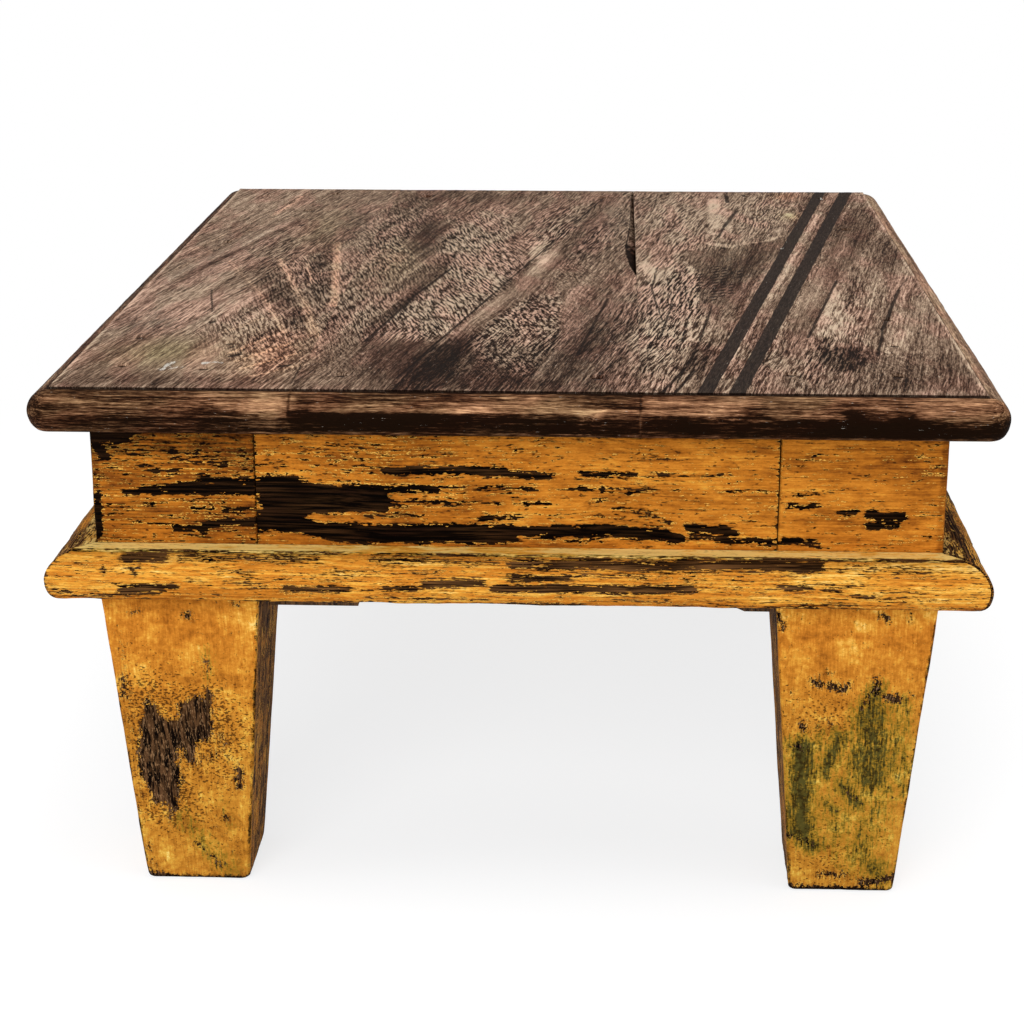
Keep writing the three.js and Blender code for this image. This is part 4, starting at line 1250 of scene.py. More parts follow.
    def colour_in(self, made: bpy.types.Object) -> None:
        """Grain, tones and marks from the vertices' places.

        Args:
            made: the board.
        """
        x, y, z = vertices(made).T
        drop = TABLE_HEIGHT - z
        past = np.maximum(np.abs(x) - HALF_WIDTH, np.abs(y) - HALF_DEPTH) + self.edge_width
        ragged = x + 0.8 * Noise(self.seed).layered(x / 5, y / 12)
        front = (np.abs(y) > HALF_DEPTH - self.edge_width + 0.3) & (drop > 0.8)
        side = (np.abs(x) > HALF_WIDTH - self.edge_width + 0.3) & (drop > 0.8) & ~front
        wall = self.on_wall(x, y, drop)
        flat = ((past < 0.05) | (drop < 0.42)) & ~wall
        at = TopPlaces(x, y, z, drop, past, ragged, front, side, wall, flat)
        put(made, "grain", *self.fibres(at))
        put(made, "tone", *self.tones(at))
        put(made, "marks", *self.marks(at))
        put(made, "lay", *self.lay(at))

    def fibres(self, at: TopPlaces) -> np.ndarray:
        """Fibre coordinates: along Y with a slow bend on the board, and round the edge with the nose.

        Args:
            at: the vertices.

        Returns:
            Three rows, the first along the fibres.
        """
        x, y, bend, lean = at.x, at.y, Noise(8), OldTopWood.saw_lean
        across = x + 2.4 * bend.layered(x / 46, y / 110) + bend.layered(x / 12 + 7, y / 40)
        board = [y + self.seed * 131, across, 0.4 * at.z]
        ends = [x, 1.5 * at.drop + y * 0.2 + lean * x, y]
        sides = [y, 1.5 * at.drop + lean * y, x]
        return np.where(at.front, ends, np.where(at.side, sides, board))

    def tones(self, at: TopPlaces) -> tuple[np.ndarray, ...]:
        """How light and how torn the wood is, with the painted shade and highlights of the edge.

        Args:
            at: the vertices.

        Returns:
            The tone, the strength of the fibres, green, and the brown of the edge.
        """
        x, y, ragged, nose = at.x, at.y, at.ragged, at.front | at.side
        noise = Noise(self.seed)
        ragged_y = y + 3.0 * noise.layered(x / 4 + 50, y / 12)
        smooth = coverage(SMOOTH_AREAS, ragged, y, 1.6) * at.flat
        tone = self.tone + tinted(TOP_TONES, ragged, y) - 0.03 * smooth
        tone = tone + shifted(TOP_BANDS, ragged, ragged_y, 1.6)
        strength = (0.2 + tinted(TOP_FIBRES, x, y)) * (1 - 0.75 * smooth)
        strength = np.clip(strength + shifted(TOP_TORN, ragged, ragged_y, 2.5), 0, 1.2)
        tone = np.where(nose, self.nose_shade(at), tone)
        tone = np.where(at.drop > 17.4, 0.22, tone)
        tone = np.where(at.wall, np.where(y > 76, 0.5, 0.1), tone)
        # A painted highlight along the edge of the flat field, where the quirk begins
        painted_rim_highlight = share_between(HALF_WIDTH - self.edge_width - np.abs(x), -0.2, 1.0) * (np.abs(y) < 238) * at.flat
        tone = tone + 0.32 * painted_rim_highlight * (0.8 + 0.5 * noise.layered(y / 14, x * 0))
        green = np.clip(tinted(TOP_GREENS, x, y), 0, 1) * ~nose
        browned = np.where(at.front, 1.0, np.where(at.side, 0.35, 0.0))
        return tone, np.where(nose, 0.12, strength), green, browned

    def marks(self, at: TopPlaces) -> tuple[np.ndarray, ...]:
        """Burnt stripes, dark lines, light streaks and white flecks.

        Args:
            at: the vertices.

        Returns:
            The coverage of each.
        """
        x, y, drop = at.x, at.y, at.drop
        sawn = x + 0.3 * Noise(self.seed).layered(x / 3, y / 9)
        line = np.maximum(coverage(SAWN_LINES, sawn, y, 1.1), self.comb(x, y))
        line = np.maximum(line, coverage(KNOT_HOLES, x, y, 0.9))
        for nail_x, nail_y in self.nails:
            line = np.maximum(line, 1.3 * (1 - smoothstep(1.6, 3.2, np.hypot(x - nail_x, y - nail_y))))
        line = np.where(at.flat & ~at.front & ~at.side, line, 0)
        # Dark in the quirk of the edge and in the open joint
        outside = np.hypot(
            np.maximum(np.abs(x) - HALF_WIDTH + self.edge_width, 0),
            np.maximum(np.abs(y) - HALF_DEPTH + self.edge_width, 0),
        )
        quirk = share_between(drop, 0.5, 1.7) * (1 - smoothstep(0.7, 1.3, outside)) * (at.past > -0.2)
        line = np.maximum(line, 0.95 * quirk * ~at.wall)
        crack = at.wall * share_between(y, -12.0, 230.0) * self.wane
        crack = crack * np.where(y < 62, smoothstep(0.4, 1.0, drop), share_between(drop, 0.42, 0.9))
        dark = coverage(SAWN_STRIPES, sawn, y, 0.8) * at.flat
        light = coverage(LIGHT_STREAKS, at.ragged, y, 1.5) * at.flat
        fleck = coverage(WHITE_FLECKS, x, y, 1.2) * at.flat
        return dark, np.maximum(line, crack), light, fleck

    def lay(self, at: TopPlaces) -> tuple[np.ndarray, ...]:
        """How the fibres lie and what colours them.

        Args:
            at: the vertices.

        Returns:
            Where they are crossed, grey, crumbled and warm.
        """
        x, y, nose = at.x, at.y, at.front | at.side
        crossed = smoothstep(0.3, 0.6, tinted(TOP_CROSSED, x, y)) * (x < RIGHT_JOINT)
        light = coverage(LIGHT_STREAKS, at.ragged, y, 1.5) * at.flat
        warm = 0.4 * light * (x < LEFT_JOINT) + 0.5 * tinted(TOP_WARM, x, y)
        rows = crossed, tinted(TOP_GREYS, x, y), tinted(TOP_CRUMBS, x, y), warm
        return tuple(np.clip(row, 0, 1) * ~nose for row in rows)

    def on_wall(self, x: np.ndarray, y: np.ndarray, drop: np.ndarray) -> np.ndarray:
        """Finds the faces that meet the next boards, the waney one included.

        Args:
            x: places, in mm.
            y: the same along Y.
            drop: how far below the top face.

        Returns:
            True on those faces.
        """
        fallen = np.where(self.wane & (np.abs(y) < 239), 7.0, 0.3)
        left = (x < self.left + 0.3) & (self.left > -HALF_WIDTH)
        right = (x > self.right - fallen) & (self.right < HALF_WIDTH)
        at_nail = np.zeros(len(x), bool)
        for nail_x, nail_y in self.nails:
            at_nail |= np.hypot(x - nail_x, y - nail_y) < 4
        return (left | right) & (drop > 0.42) & ~at_nail

    def nose_shade(self, at: TopPlaces) -> np.ndarray:
        """The tone of the edge: worn and brown above, near black below, partly a stain and partly painted
        shade where the nose turns under, with placed blots at the front and a painted highlight along its
        lower arris.

        Args:
            at: the vertices.

        Returns:
            The tone.
        """
        x, drop, noise = at.x, at.drop, Noise(12)
        front = at.front & (at.y < 0)
        along, left_end = np.where(at.front, x, at.y), front & (x < LEFT_JOINT)
        # Near black below the turn, partly a stain and partly painted shade where the nose faces down
        turn = np.where(left_end, 10.5, 7.6) + 1.4 * noise.layered(along / 16, drop / 6)
        low = smoothstep(-1.6, 1.6, drop - turn)
        upper = np.where(left_end, 0.15, 0.22) + 0.22 * noise.layered(along / 30 + 5, drop / 1.6)
        upper = upper + 0.1 * (x > RIGHT_JOINT)
        lower = np.where(left_end, 0.0, -0.12) + 0.14 * noise.layered(along / 12 + 60, drop / 0.9)
        shade = upper + (lower - upper) * low
        shade = np.where(at.side, np.where(x > 0, 0.56, 0.22) - 0.45 * low, shade)
        ragged_x = x + 3.0 * noise.layered(x / 3, drop / 1.2)
        ragged_drop = drop + 1.4 * noise.layered(x / 4, drop / 2 + 7)
        placed = 1.15 * tinted(NOSE_TONES, ragged_x, ragged_drop)
        # A painted highlight along the lower arris of the nose
        arris = share_between(drop, 16.3, 17.2) * (0.3 + 0.25 * noise.layered(along / 5, x * 0))
        return np.where(at.front & ~front, 0.0, shade + (placed + arris) * front)

    @staticmethod
    def comb(x: np.ndarray, y: np.ndarray) -> np.ndarray:
        """The comb of short dark dashes beside the knot of the right board, in rows one pitch apart.

        Args:
            x: places, in mm.
            y: the same along Y.

        Returns:
            The dashes' coverage.
        """
        rows = np.zeros(len(x))
        near = (np.abs(x - 92) < 14) & (np.abs(y + 28) < 50)
        for column, first, last in COMB_COLUMNS:
            for tooth in np.arange(first, last, -COMB_PITCH):
                start = column + 0.06 * tooth
                dash = Stroke(start, tooth, start + 1.6, tooth + 2.2, 0.9, 1.3)
                rows[near] = np.maximum(rows[near], coverage((dash,), x[near], y[near], 0.7))
        return rows


@dataclass
class PaintedPiece(Piece):
    """A piece in worn ochre paint. Its marks lie on its outer face, and the rest is scattered by noise.

    `along` is the axis that its fibres follow, counted x, y, z.
    """

    wear: tuple[Mark, ...] = ()
    grime: tuple[Mark, ...] = ()
    along: int = 0

    def coordinates(self, at: np.ndarray) -> np.ndarray:
        """Fibre coordinates, with a slow waver across them.

        Args:
            at: rows of x, y, z in mm.

        Returns:
            Rows whose first number is the place along the fibres.
        """
        order = [self.along, (self.along + 1) % 3, (self.along + 2) % 3]
        grain = at[:, order] + self.seed * np.array([97.0, 13.0, 29.0])
        waver = Noise(self.seed + 3).layered(at[:, self.along] / 50, at.sum(axis=1) / 70)
        return grain + waver[:, None] * np.array([0.0, 1.4, 1.4])

    def scatter(self, grain: np.ndarray) -> np.ndarray:
        """Wear that isn't placed: long rubbed streaks along the fibres.

        Args:
            grain: fibre coordinates.

        Returns:
            The wear, 0 to 1.
        """
        noise = Noise(self.seed + 11)
        across = grain[:, 1] + grain[:, 2]
        streaks = noise.layered(grain[:, 0] / 55, across / 3.4, 4)
        worn = noise.layered(grain[:, 0] / 34 + 50, across / 14)
        return np.clip(0.30 + 0.42 * streaks + 0.34 * worn, 0, 1)

    @staticmethod
    def paint(made: bpy.types.Object, wear: np.ndarray, tint: np.ndarray, **held: np.ndarray) -> None:
        """Stores what the finish reads.

        Args:
            made: the piece.
            wear: bare from about one half.
            tint: how light the ochre is.
            held: grime, wood, specks, soot (which also carries painted shade), faded and scored, each held
                between 0 and 1.
        """
        grime, wood, specks, soot, faded, scored = (np.clip(values, 0, 1) for values in held.values())
        put(made, "paint", wear, grime, tint, wood)
        put(made, "dirt_and_shade", specks, soot, faded, scored)


@dataclass
class Leg(PaintedPiece):
    """A leg: a square post in the apron, tapering below it to a worn foot."""

    sign_x: int = -1
    sign_y: int = -1
    step: float = 1.35
    speckled: tuple[Blot, ...] = ()

    @staticmethod
    def half_side(z: np.ndarray) -> np.ndarray:
        """Half the side of its section at a height, all in mm."""
        return (LEG_SIZE - (LEG_SIZE - FOOT_SIZE) * np.clip(1 - z / SKIRT_BOTTOM, 0, 1)) / 2

    def surface(self) -> Surface:
        """Rounded squares up the leg, with wavering arrises and faces and the foot's end rubbed round.

        Returns:
            The closed surface.
        """
        noise = Noise(self.seed)
        z = np.concatenate([[0.0, 0.25, 0.8, 1.7, 2.8], np.arange(4.2, UNDER_TOP, self.step), [UNDER_TOP]])
        half = self.half_side(z) - 1.2 * (1 - np.sqrt(1 - np.clip(1 - z / 1.6, 0, 1) ** 2))
        height, corners = z[:, None], np.arange(4) + 0 * z[:, None]
        radii = 1.3 + 0.7 * noise.layered(height / 13 + 20, corners * 7.3)
        radii = radii + 1.6 * smoothstep(0.2, 0.9, noise.layered(height / 30 + 70, corners * 5.1))
        radii = np.where(height > SKIRT_BOTTOM, np.minimum(radii, 1.5), radii)
        radii = radii + 1.6 * np.clip(1 - height / 10, 0, 1) ** 2
        loop = rounded_bar(half, half, radii, (54, 40))
        height = np.broadcast_to(height, loop.shape[:2])
        around = np.arctan2(loop[..., 1], loop[..., 0]) * 40
        bump = 0.22 * noise.layered(around / 16, height / 40) + 0.08 * noise.layered(around / 3, height / 14)
        bump = bump * (1 - smoothstep(200, 216, height)) - 0.15
        loop = loop * (1 + bump / np.abs(loop).max(axis=-1))[..., None]
        middle = np.array([self.sign_x * (APRON_X - LEG_SIZE / 2), self.sign_y * (APRON_Y - LEG_SIZE / 2)])
        return swept(np.concatenate([loop + middle, height[..., None]], axis=-1))

    def colour_in(self, made: bpy.types.Object) -> None:
        """Placed wear on the front face, rubbed wood on the inner faces, scattered wear elsewhere.

        Args:
            made: the leg.
        """
        at = vertices(made)
        x, y, z = at.T
        noise = Noise(self.seed + 1)
        post = z > SKIRT_BOTTOM
        facing = (APRON_Y - np.abs(y) < APRON_X - np.abs(x))[:, None]
        level = np.where(facing, at[:, [0, 2, 1]], at[:, [1, 2, 0]])
        grain = self.coordinates(at) * np.array([3.6, 0.8, 0.8])
        grain[post] = level[post] + self.seed * 37
        put(made, "grain", *grain.T)
        # Its faces, and how far a place is from the nearest arris
        half = self.half_side(z)
        u, v = np.abs(x) - APRON_X + LEG_SIZE / 2, np.abs(y) - APRON_Y + LEG_SIZE / 2
        outer_front = v > half - 2.2
        inner = ~outer_front & (u <= half - 2.2)
        seen = outer_front & (self.sign_y < 0)
        arris = np.minimum(np.abs(np.abs(u) - half), 9) + np.minimum(np.abs(np.abs(v) - half), 9)
        # Wear: placed where it is seen, in rows on the post, and rubbed through at the arrises and the foot
        ragged_x = x + 1.1 * noise.layered(x / 4, z / 6)
        ragged_z = z + 1.1 * noise.layered(x / 5 + 30, z / 6)
        base = 0.06 + 0.1 * noise.layered(x / 9, z / 20) + 0.1 * smoothstep(110, 60, z) * smoothstep(0, 30, z)
        rows = 0.2 + 0.2 * noise.layered(x / 16, z / 2.6) + 0.12 * (self.sign_x < 0)
        placed = coverage(self.wear, ragged_x, ragged_z, np.where(post, 1.6, 2.8))
        placed = np.maximum(np.where(post, rows, base), placed)
        scattered = self.scatter(grain) * np.where(inner, 1.0, 0.85) + np.where(inner, 0.28, 0.0)
        rubbed = 1 - smoothstep(0.3, 2.0, arris)
        wear = np.where(seen, placed, scattered) + 0.6 * np.clip(1 - z / 2.6, 0, 1)
        wear = wear + rubbed * 0.34 * (0.8 + 0.7 * noise.layered(z / 12, u * 0)) * ~post
        smears = coverage(self.grime, ragged_x, ragged_z, 5.0)
        grime = np.where(seen, smears, 0.25 * np.clip(noise.layered(x / 30, z / 30), 0, 1))
        # The ochre's tone, darkened on the post towards the top as painted shade under its overhang, and the
        # wood's under it
        tint = 0.54 + 0.05 * smoothstep(90, 20, z) + 0.12 * noise.layered(x / 26, z / 26)
        tint = tint + 0.1 * noise.layered(x / 30 + 0.02 * z, z / 4 + 20) * smoothstep(70, 110, z)
        shade = (0.34 if self.sign_x < 0 else 0.47) + 0.06 * noise.layered(x / 20, z / 8)
        shade = shade - 0.1 * smoothstep(190, 214, z) - 0.16 * (np.abs(x) > APRON_X - 3.5)
        strips = 0.8 + 0.9 * noise.layered((x + y) / 3.5, z / 60)
        wood = np.where(inner, strips, 0.35 + 0.2 * noise.layered(x / 8, z / 20))
        wood = np.where(seen, np.where(post, 0.05, 0.24 if self.sign_x < 0 else 0.1), wood)
        # Specks; painted shade under the top; darker along the arrises and at the foot; and soot in strips
        # inside
        specks = np.where(post, 0.3, 0.12) + 0.15 * noise.layered(x / 14, z / 16)
        specks = specks + tinted(self.speckled, x, z)
        line = 0.8 * (1 - smoothstep(0.7, 1.9, arris)) * (0.8 + 0.6 * noise.layered(z / 9, u * 0 + 3)) * ~post
        soot = painted_shade_under_top(z) + line + 0.8 * smoothstep(3.5, 0.5, z)
        soot = soot + 0.8 * inner * smoothstep(0.2, 0.5, noise.layered((x + y) / 5 + 40, z / 45))
        if self.sign_x < 0:
            smoke = 0.5 * smoothstep(190, 206, z) + 0.2 * noise.layered(x / 9, z / 3)
            soot = np.maximum(soot, smoke * seen)
        faded = smoothstep(130, 60, z) * (1.0 if self.sign_x > 0 else 0.8) * ~inner
        self.paint(
            made, wear, np.where(post, shade, tint), grime=grime, wood=wood,
            specks=specks, soot=soot, faded=faded, scored=0.4 * (seen & ~post),
        )


def painted_shade_under_top(z: np.ndarray) -> np.ndarray:
    """The painted shade under the top's overhang: a dark band on the apron and a darker line just below the
    top, by height in mm.
    """
    return 0.6 * smoothstep(205, 216, z) + 0.9 * smoothstep(211, 213.5, z)


@dataclass
class Rail(PaintedPiece):
    """A rail between two posts. It is drawn as the front's and turned by quarter turns to its side."""

    turns: int = 0
    half_length: float = 108.7
    face: float = APRON_Y
    thickness: float = RAIL_THICKNESS
    step: float = 1.5

    def turned(self, at: np.ndarray, back: bool = False) -> np.ndarray:
        """Points turned about Z to the rail's side.

        Args:
            at: points, as x, y, z in the last axis.
            back: turn them back to the front instead.

        Returns:
            The turned points.
        """
        angle = self.turns * math.pi / 2 * (-1 if back else 1)
        cosine, sine = round(math.cos(angle)), round(math.sin(angle))
        x, y = at[..., 0], at[..., 1]
        return np.stack([cosine * x - sine * y, sine * x + cosine * y, at[..., 2]], axis=-1)

    def surface(self) -> Surface:
        """Rounded rectangles along X, whose outer face is planed a little uneven.

        Returns:
            The closed surface.
        """
        x = np.linspace(-self.half_length, self.half_length, round(2 * self.half_length / self.step) + 1)
        ones, height = np.ones(len(x)), UNDER_TOP - SKIRT_BOTTOM
        radii = np.full((len(x), 4), 0.5)
        loop = rounded_bar(self.thickness / 2 * ones, height / 2 * ones, radii, (12, 44))
        p, q = loop[..., 0], loop[..., 1]
        x = np.broadcast_to(x[:, None], p.shape)
        near = np.clip((self.half_length - np.abs(x)) / 6, 0, 1) * (p < 2 - self.thickness / 2)
        p = p + near * (0.16 * Noise(self.seed).layered(x / 40, q / 14) - 0.05)
        y = p - self.face + self.thickness / 2
        return swept(self.turned(np.stack([x, y, q + (UNDER_TOP + SKIRT_BOTTOM) / 2], axis=-1)))

    def colour_in(self, made: bpy.types.Object) -> None:
        """Placed wear on the front rail; on the others streaks, and bare wood inside.

        Args:
            made: the rail.
        """
        local = self.turned(vertices(made), back=True)
        x, y, z = local.T
        noise = Noise(self.seed + 1)
        grain = self.coordinates(local)
        put(made, "grain", *grain.T)
        outer = y < -self.face + 1.5
        if self.wear:
            ragged_x = x + 2.2 * noise.layered(x / 9, z / 2.5) + 6.0 * noise.layered(x / 45 + 7, z / 1.5)
            ragged_z = z + 0.8 * noise.layered(x / 6 + 30, z / 3)
            rows = 0.2 + 0.16 * noise.layered(x / 18, z / 2.2)
            rows = rows + 0.1 * smoothstep(60, -60, x) * smoothstep(178, 196, z)
            wear = np.maximum(rows, coverage(self.wear, ragged_x, ragged_z, 1.6))
        else:
            wear = self.scatter(grain)
        end = self.half_length - np.abs(x)
        wear = np.maximum(np.where(outer, wear, 0.9), 0.5 * (1 - smoothstep(0.2, 1.0, end)))
        self.paint(
            made, wear, 0.4 + 0.09 * noise.layered(x / 40, z / 8) + 0.05 * smoothstep(-60, 60, x),
            grime=0.1 * noise.layered(x / 16, z / 3),
            wood=np.where(outer, 0.06, 0.85) + 0.1 * noise.layered(x / 20, z / 6),
            specks=0.4 + 0.2 * noise.layered(x / 20, z / 5),
            # The soot here is painted shade: under the top's overhang and just above the moulding's ledge
            soot=painted_shade_under_top(z) + 0.15 * smoothstep(165, 163, z),
            faded=0 * x, scored=0 * x,
        )


@dataclass
class Moulding(Rail):
    """A mitred length of the thumbnail moulding round the foot of the apron."""

    half_length: float = APRON_X
    projection: float = SKIRT_PROJECTION
    ledge: float = 8.5
    quirk: float = 1.3
    ovolo: float = 10.0
    undercut: float = 5.5
    gaps: tuple[float, float] = (0.4, 0.4)
    seat: float = 0.3

    def section(self) -> np.ndarray:
        """The section: ledge, quirk, ovolo, round, underside and back.

        Returns:
            Rows of out and down, in mm.
        """
        height = SKIRT_TOP - SKIRT_BOTTOM
        top = np.stack([np.linspace(self.seat, self.ledge, 7)[:-1], np.zeros(6)], axis=1)
        width, shares = self.projection - self.ledge, np.linspace(0, 1, 46)
        out, down = mould_curve(shares, width, self.quirk, self.ovolo, self.undercut, height)
        mould = np.stack([out + self.ledge, down], axis=1)
        under = np.stack([np.linspace(mould[-1, 0], self.seat, 8)[1:], np.full(7, height)], axis=1)
        rear = np.stack([np.full(4, self.seat), np.linspace(height, 0, 6)[1:-1]], axis=1)
        return np.concatenate([top, mould, under, rear])

    def surface(self) -> Surface:
        """The worn section at stations, its ends cut at 45 degrees.

        Returns:
            The closed surface.
        """
        noise, shared = Noise(self.seed), Noise(6)
        height = SKIRT_TOP - SKIRT_BOTTOM
        share = np.linspace(-1, 1, round(2 * self.half_length / self.step) + 1)[:, None]
        reach, drop = (column + 0 * share for column in self.section().T)
        gap = np.where(share < 0, self.gaps[0], self.gaps[1]) / math.sqrt(2)
        x = share * (self.half_length + reach - gap)
        nose, body = smoothstep(self.ledge + 2, self.ledge + 8, reach), smoothstep(0.6, 2.0, reach)
        worn = 0.5 * shared.layered(x / 30 + self.turns * 19, drop / 30)
        worn = worn + 0.25 * shared.layered(x / 7, drop / 6 + 9)
        chips = smoothstep(0.45, 0.8, noise.layered(x / 9 + 60, drop / 8))
        reach = reach + nose * (worn - 0.35 - 0.9 * chips)
        lower = smoothstep(height - 5, height, drop)
        drop = drop - lower * nose * (0.5 + 0.7 * noise.layered(x / 12 + 33, drop * 0))
        upper = (1 - smoothstep(0, 1.2, drop)) * body
        drop = drop + upper * (0.25 + 0.25 * noise.layered(x / 20 + 80, reach / 6))
        return swept(self.turned(np.stack([x, -self.face - reach, SKIRT_TOP - drop], axis=-1)))

    def colour_in(self, made: bpy.types.Object) -> None:
        """Placed wear on the front length, streaks on the others; the ledge is palest as a painted highlight,
        the quirk dark, and painted shade lies at the apron and under the round.

        Args:
            made: the moulding.
        """
        local = self.turned(vertices(made), back=True)
        x, y, z = local.T
        out = -y - self.face
        noise = Noise(self.seed + 1)
        grain = self.coordinates(local)
        grain[:, 1] += 1.2 * z
        put(made, "grain", *grain.T)
        on_face = (out > self.ledge - 0.6) & (z > SKIRT_BOTTOM + 0.3)
        on_ledge = (out <= self.ledge) & (z > SKIRT_TOP - 2.2)
        bottom = (z < SKIRT_BOTTOM + 0.6) & (out < self.projection - 5)
        quirk = np.exp(-(((out - self.ledge - 0.2) / 0.7) ** 2)) * (z > SKIRT_TOP - 3.2)
        # Wear on the face and the ledge, then at the mitres, in the quirk and along the foot
        if self.wear:
            ragged_x = x + 2.0 * noise.layered(x / 9, z / 2.5)
            ragged_z = z + 0.6 * noise.layered(x / 6 + 30, z / 3)
            rows = 0.28 + 0.22 * noise.layered(x / 26, z / 1.3)
            wear = np.maximum(rows, coverage(self.wear, ragged_x, ragged_z, 1.8))
            above = 0.1 + 0.12 * noise.layered(x / 10, out)
        else:
            above = self.scatter(grain)
            wear = above + 0.12
        wear = np.where(on_ledge, above, np.where(on_face, wear, 0.2))
        wear = wear + 0.3 * (1 - smoothstep(0.2, 1.4, self.half_length + out - np.abs(x)))
        wear = np.maximum(wear, quirk * (0.56 + 0.3 * noise.layered(x / 16 + 9, x * 0)))
        at_foot = 0.5 * smoothstep(146, 143, z) * (0.9 + 0.6 * noise.layered(x / 20, z * 0 + 4))
        wear = np.maximum(wear, at_foot)
        wear = np.where(bottom, 0.75, wear)
        grime = 0.4 * quirk + 0.1 * (self.turns == 0) * np.clip(noise.layered(x / 18, z / 5), 0, 1)
        streaks = 0.16 * noise.layered(x / 30, z / 3) + 0.16 * noise.layered(x / 60 + 9, z / 0.9)
        # The ledge is lightened as a painted highlight, and the lower part of the round darkened as painted
        # shade
        tint = 0.68 + streaks + 0.34 * on_ledge - 0.16 * smoothstep(150, 143, z)
        wood = np.where(on_face, 0.34, 0.5) + 0.3 * noise.layered(x / 16, z / 4)
        # The right and left lengths are more worn, to a browner wood
        if self.turns == 1:
            wear, wood = np.maximum(wear, 0.5 + 0.25 * noise.layered(x / 60, z / 3)), 0.4 + 0 * wood
        if self.turns == 3:
            wear, wood = np.maximum(wear, 0.36 + 0.3 * noise.layered(x / 40, out / 2)), 0.8 + 0 * wood
        self.paint(
            made, wear, tint, grime=grime, wood=wood,
            specks=0.36 + 0.2 * noise.layered(x / 16, z / 4) - 0.3 * on_ledge,
            # The soot here is painted shade: in the crease where the ledge meets the apron, and under the
            # round
            soot=0.5 * np.exp(-(((out - 0.6) / 0.6) ** 2)) + 0.35 * smoothstep(145, 142, z),
            faded=0.15 * on_ledge * smoothstep(-60, -90, x) * (self.turns == 0), scored=0 * x,
        )


# The object, the light and the camera


class Slot(Enum):
    """The record's material slots."""

    TOP = "top_wood"
    PAINT = "painted_wood"
    BARE = "bare_wood"
    PIN = "pin_wood"
    IRON = "nail_iron"


@dataclass
class Riser:
    """The whole object: its finishes and its sub-assemblies."""

    open_mitre: float = 1.8
    rail_gap: float = 0.3
    easing: float = 0.8
    materials: dict[Slot, bpy.types.Material] = field(init=False)

    def __post_init__(self) -> None:
        """Makes the five finishes."""
        self.materials = {
            Slot.TOP: OldTopWood().dress(),
            Slot.PAINT: OldPaint().dress(),
            Slot.BARE: PlainWood("raw_sawn_softwood", "#7a5632", "#1e120b", (0, 0, 1)).dress(),
            Slot.PIN: PlainWood("split_hardwood", "#9a7248", "#5a3c22", (1, 0, 0)).dress(),
            Slot.IRON: OldIron().dress(),
        }

    def top(self) -> None:
        """Three boards with the nails' dishes where the CAD's nails are, each a little different in tone."""
        boxes = [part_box(name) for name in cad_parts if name.startswith("top_nail_")]
        nails = [((low[0] + high[0]) / 2 / MM, (low[1] + high[1]) / 2 / MM) for low, high in boxes]
        boards = {
            "left": (-HALF_WIDTH, LEFT_JOINT, 0.58),
            "centre": (LEFT_JOINT, RIGHT_JOINT, 0.5),
            "right": (RIGHT_JOINT, HALF_WIDTH, 0.52),
        }
        for seed, (name, (left, right, tone)) in enumerate(boards.items(), 21):
            own = tuple(nail for nail in nails if left < nail[0] < right)
            board = TopBoard(f"top_board_{name}", seed, left, right, tone, own, wane=name == "centre")
            board.make(self.materials[Slot.TOP], Slot.TOP.value)

    def base(self) -> None:
        """Four legs, and on each side a rail and its moulding; the front right mitre stands open."""
        paint = self.materials[Slot.PAINT]
        legs = {
            "front_left": (-1, -1, FRONT_APRON_WEAR + LEFT_LEG_WEAR, LEFT_LEG_GRIME),
            "front_right": (1, -1, FRONT_APRON_WEAR + RIGHT_LEG_WEAR, RIGHT_LEG_GRIME),
            "back_right": (1, 1, (), ()),
            "back_left": (-1, 1, (), ()),
        }
        for seed, (name, (sx, sy, wear, grime)) in enumerate(legs.items(), 41):
            leg = Leg(f"leg_{name}", seed, wear, grime, along=2, sign_x=sx, sign_y=sy, speckled=LEG_SPECKLES)
            leg.make(paint, Slot.PAINT.value)
        for turns, name in enumerate(("front", "right", "back", "left")):
            half, face = (APRON_Y, APRON_X) if turns % 2 else (APRON_X, APRON_Y)
            wear, skirt_wear = ((), ()) if turns else (FRONT_APRON_WEAR, FRONT_SKIRT_WEAR)
            length = half - LEG_SIZE - self.rail_gap
            rail = Rail(f"rail_{name}", 51 + turns, wear, turns=turns, half_length=length, face=face)
            rail.make(paint, Slot.PAINT.value)
            node = f"skirt_{name}"
            skirt = Moulding(node, 61 + turns, skirt_wear, turns=turns, half_length=half, face=face)
            if turns == 0:
                skirt.gaps = (skirt.gaps[0], self.open_mitre)
            skirt.make(paint, Slot.PAINT.value)

    def small_parts(self) -> None:
        """Finishes and eased arrises for the CAD's own blocks, pegs, dowels and nails."""
        for name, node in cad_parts.items():
            if node.hide_render:
                continue
            slot = Slot.IRON if "nail" in name else Slot.PIN
            if name.startswith("block_"):
                slot = Slot.BARE
                bevel = node.modifiers.new("eased arrises", "BEVEL")
                bevel.width = self.easing * MM
                bevel.segments = 2
            node.data.materials.clear()
            node.data.materials.append(self.materials[slot])
            LOG.info("%s: %s", name, slot.value)


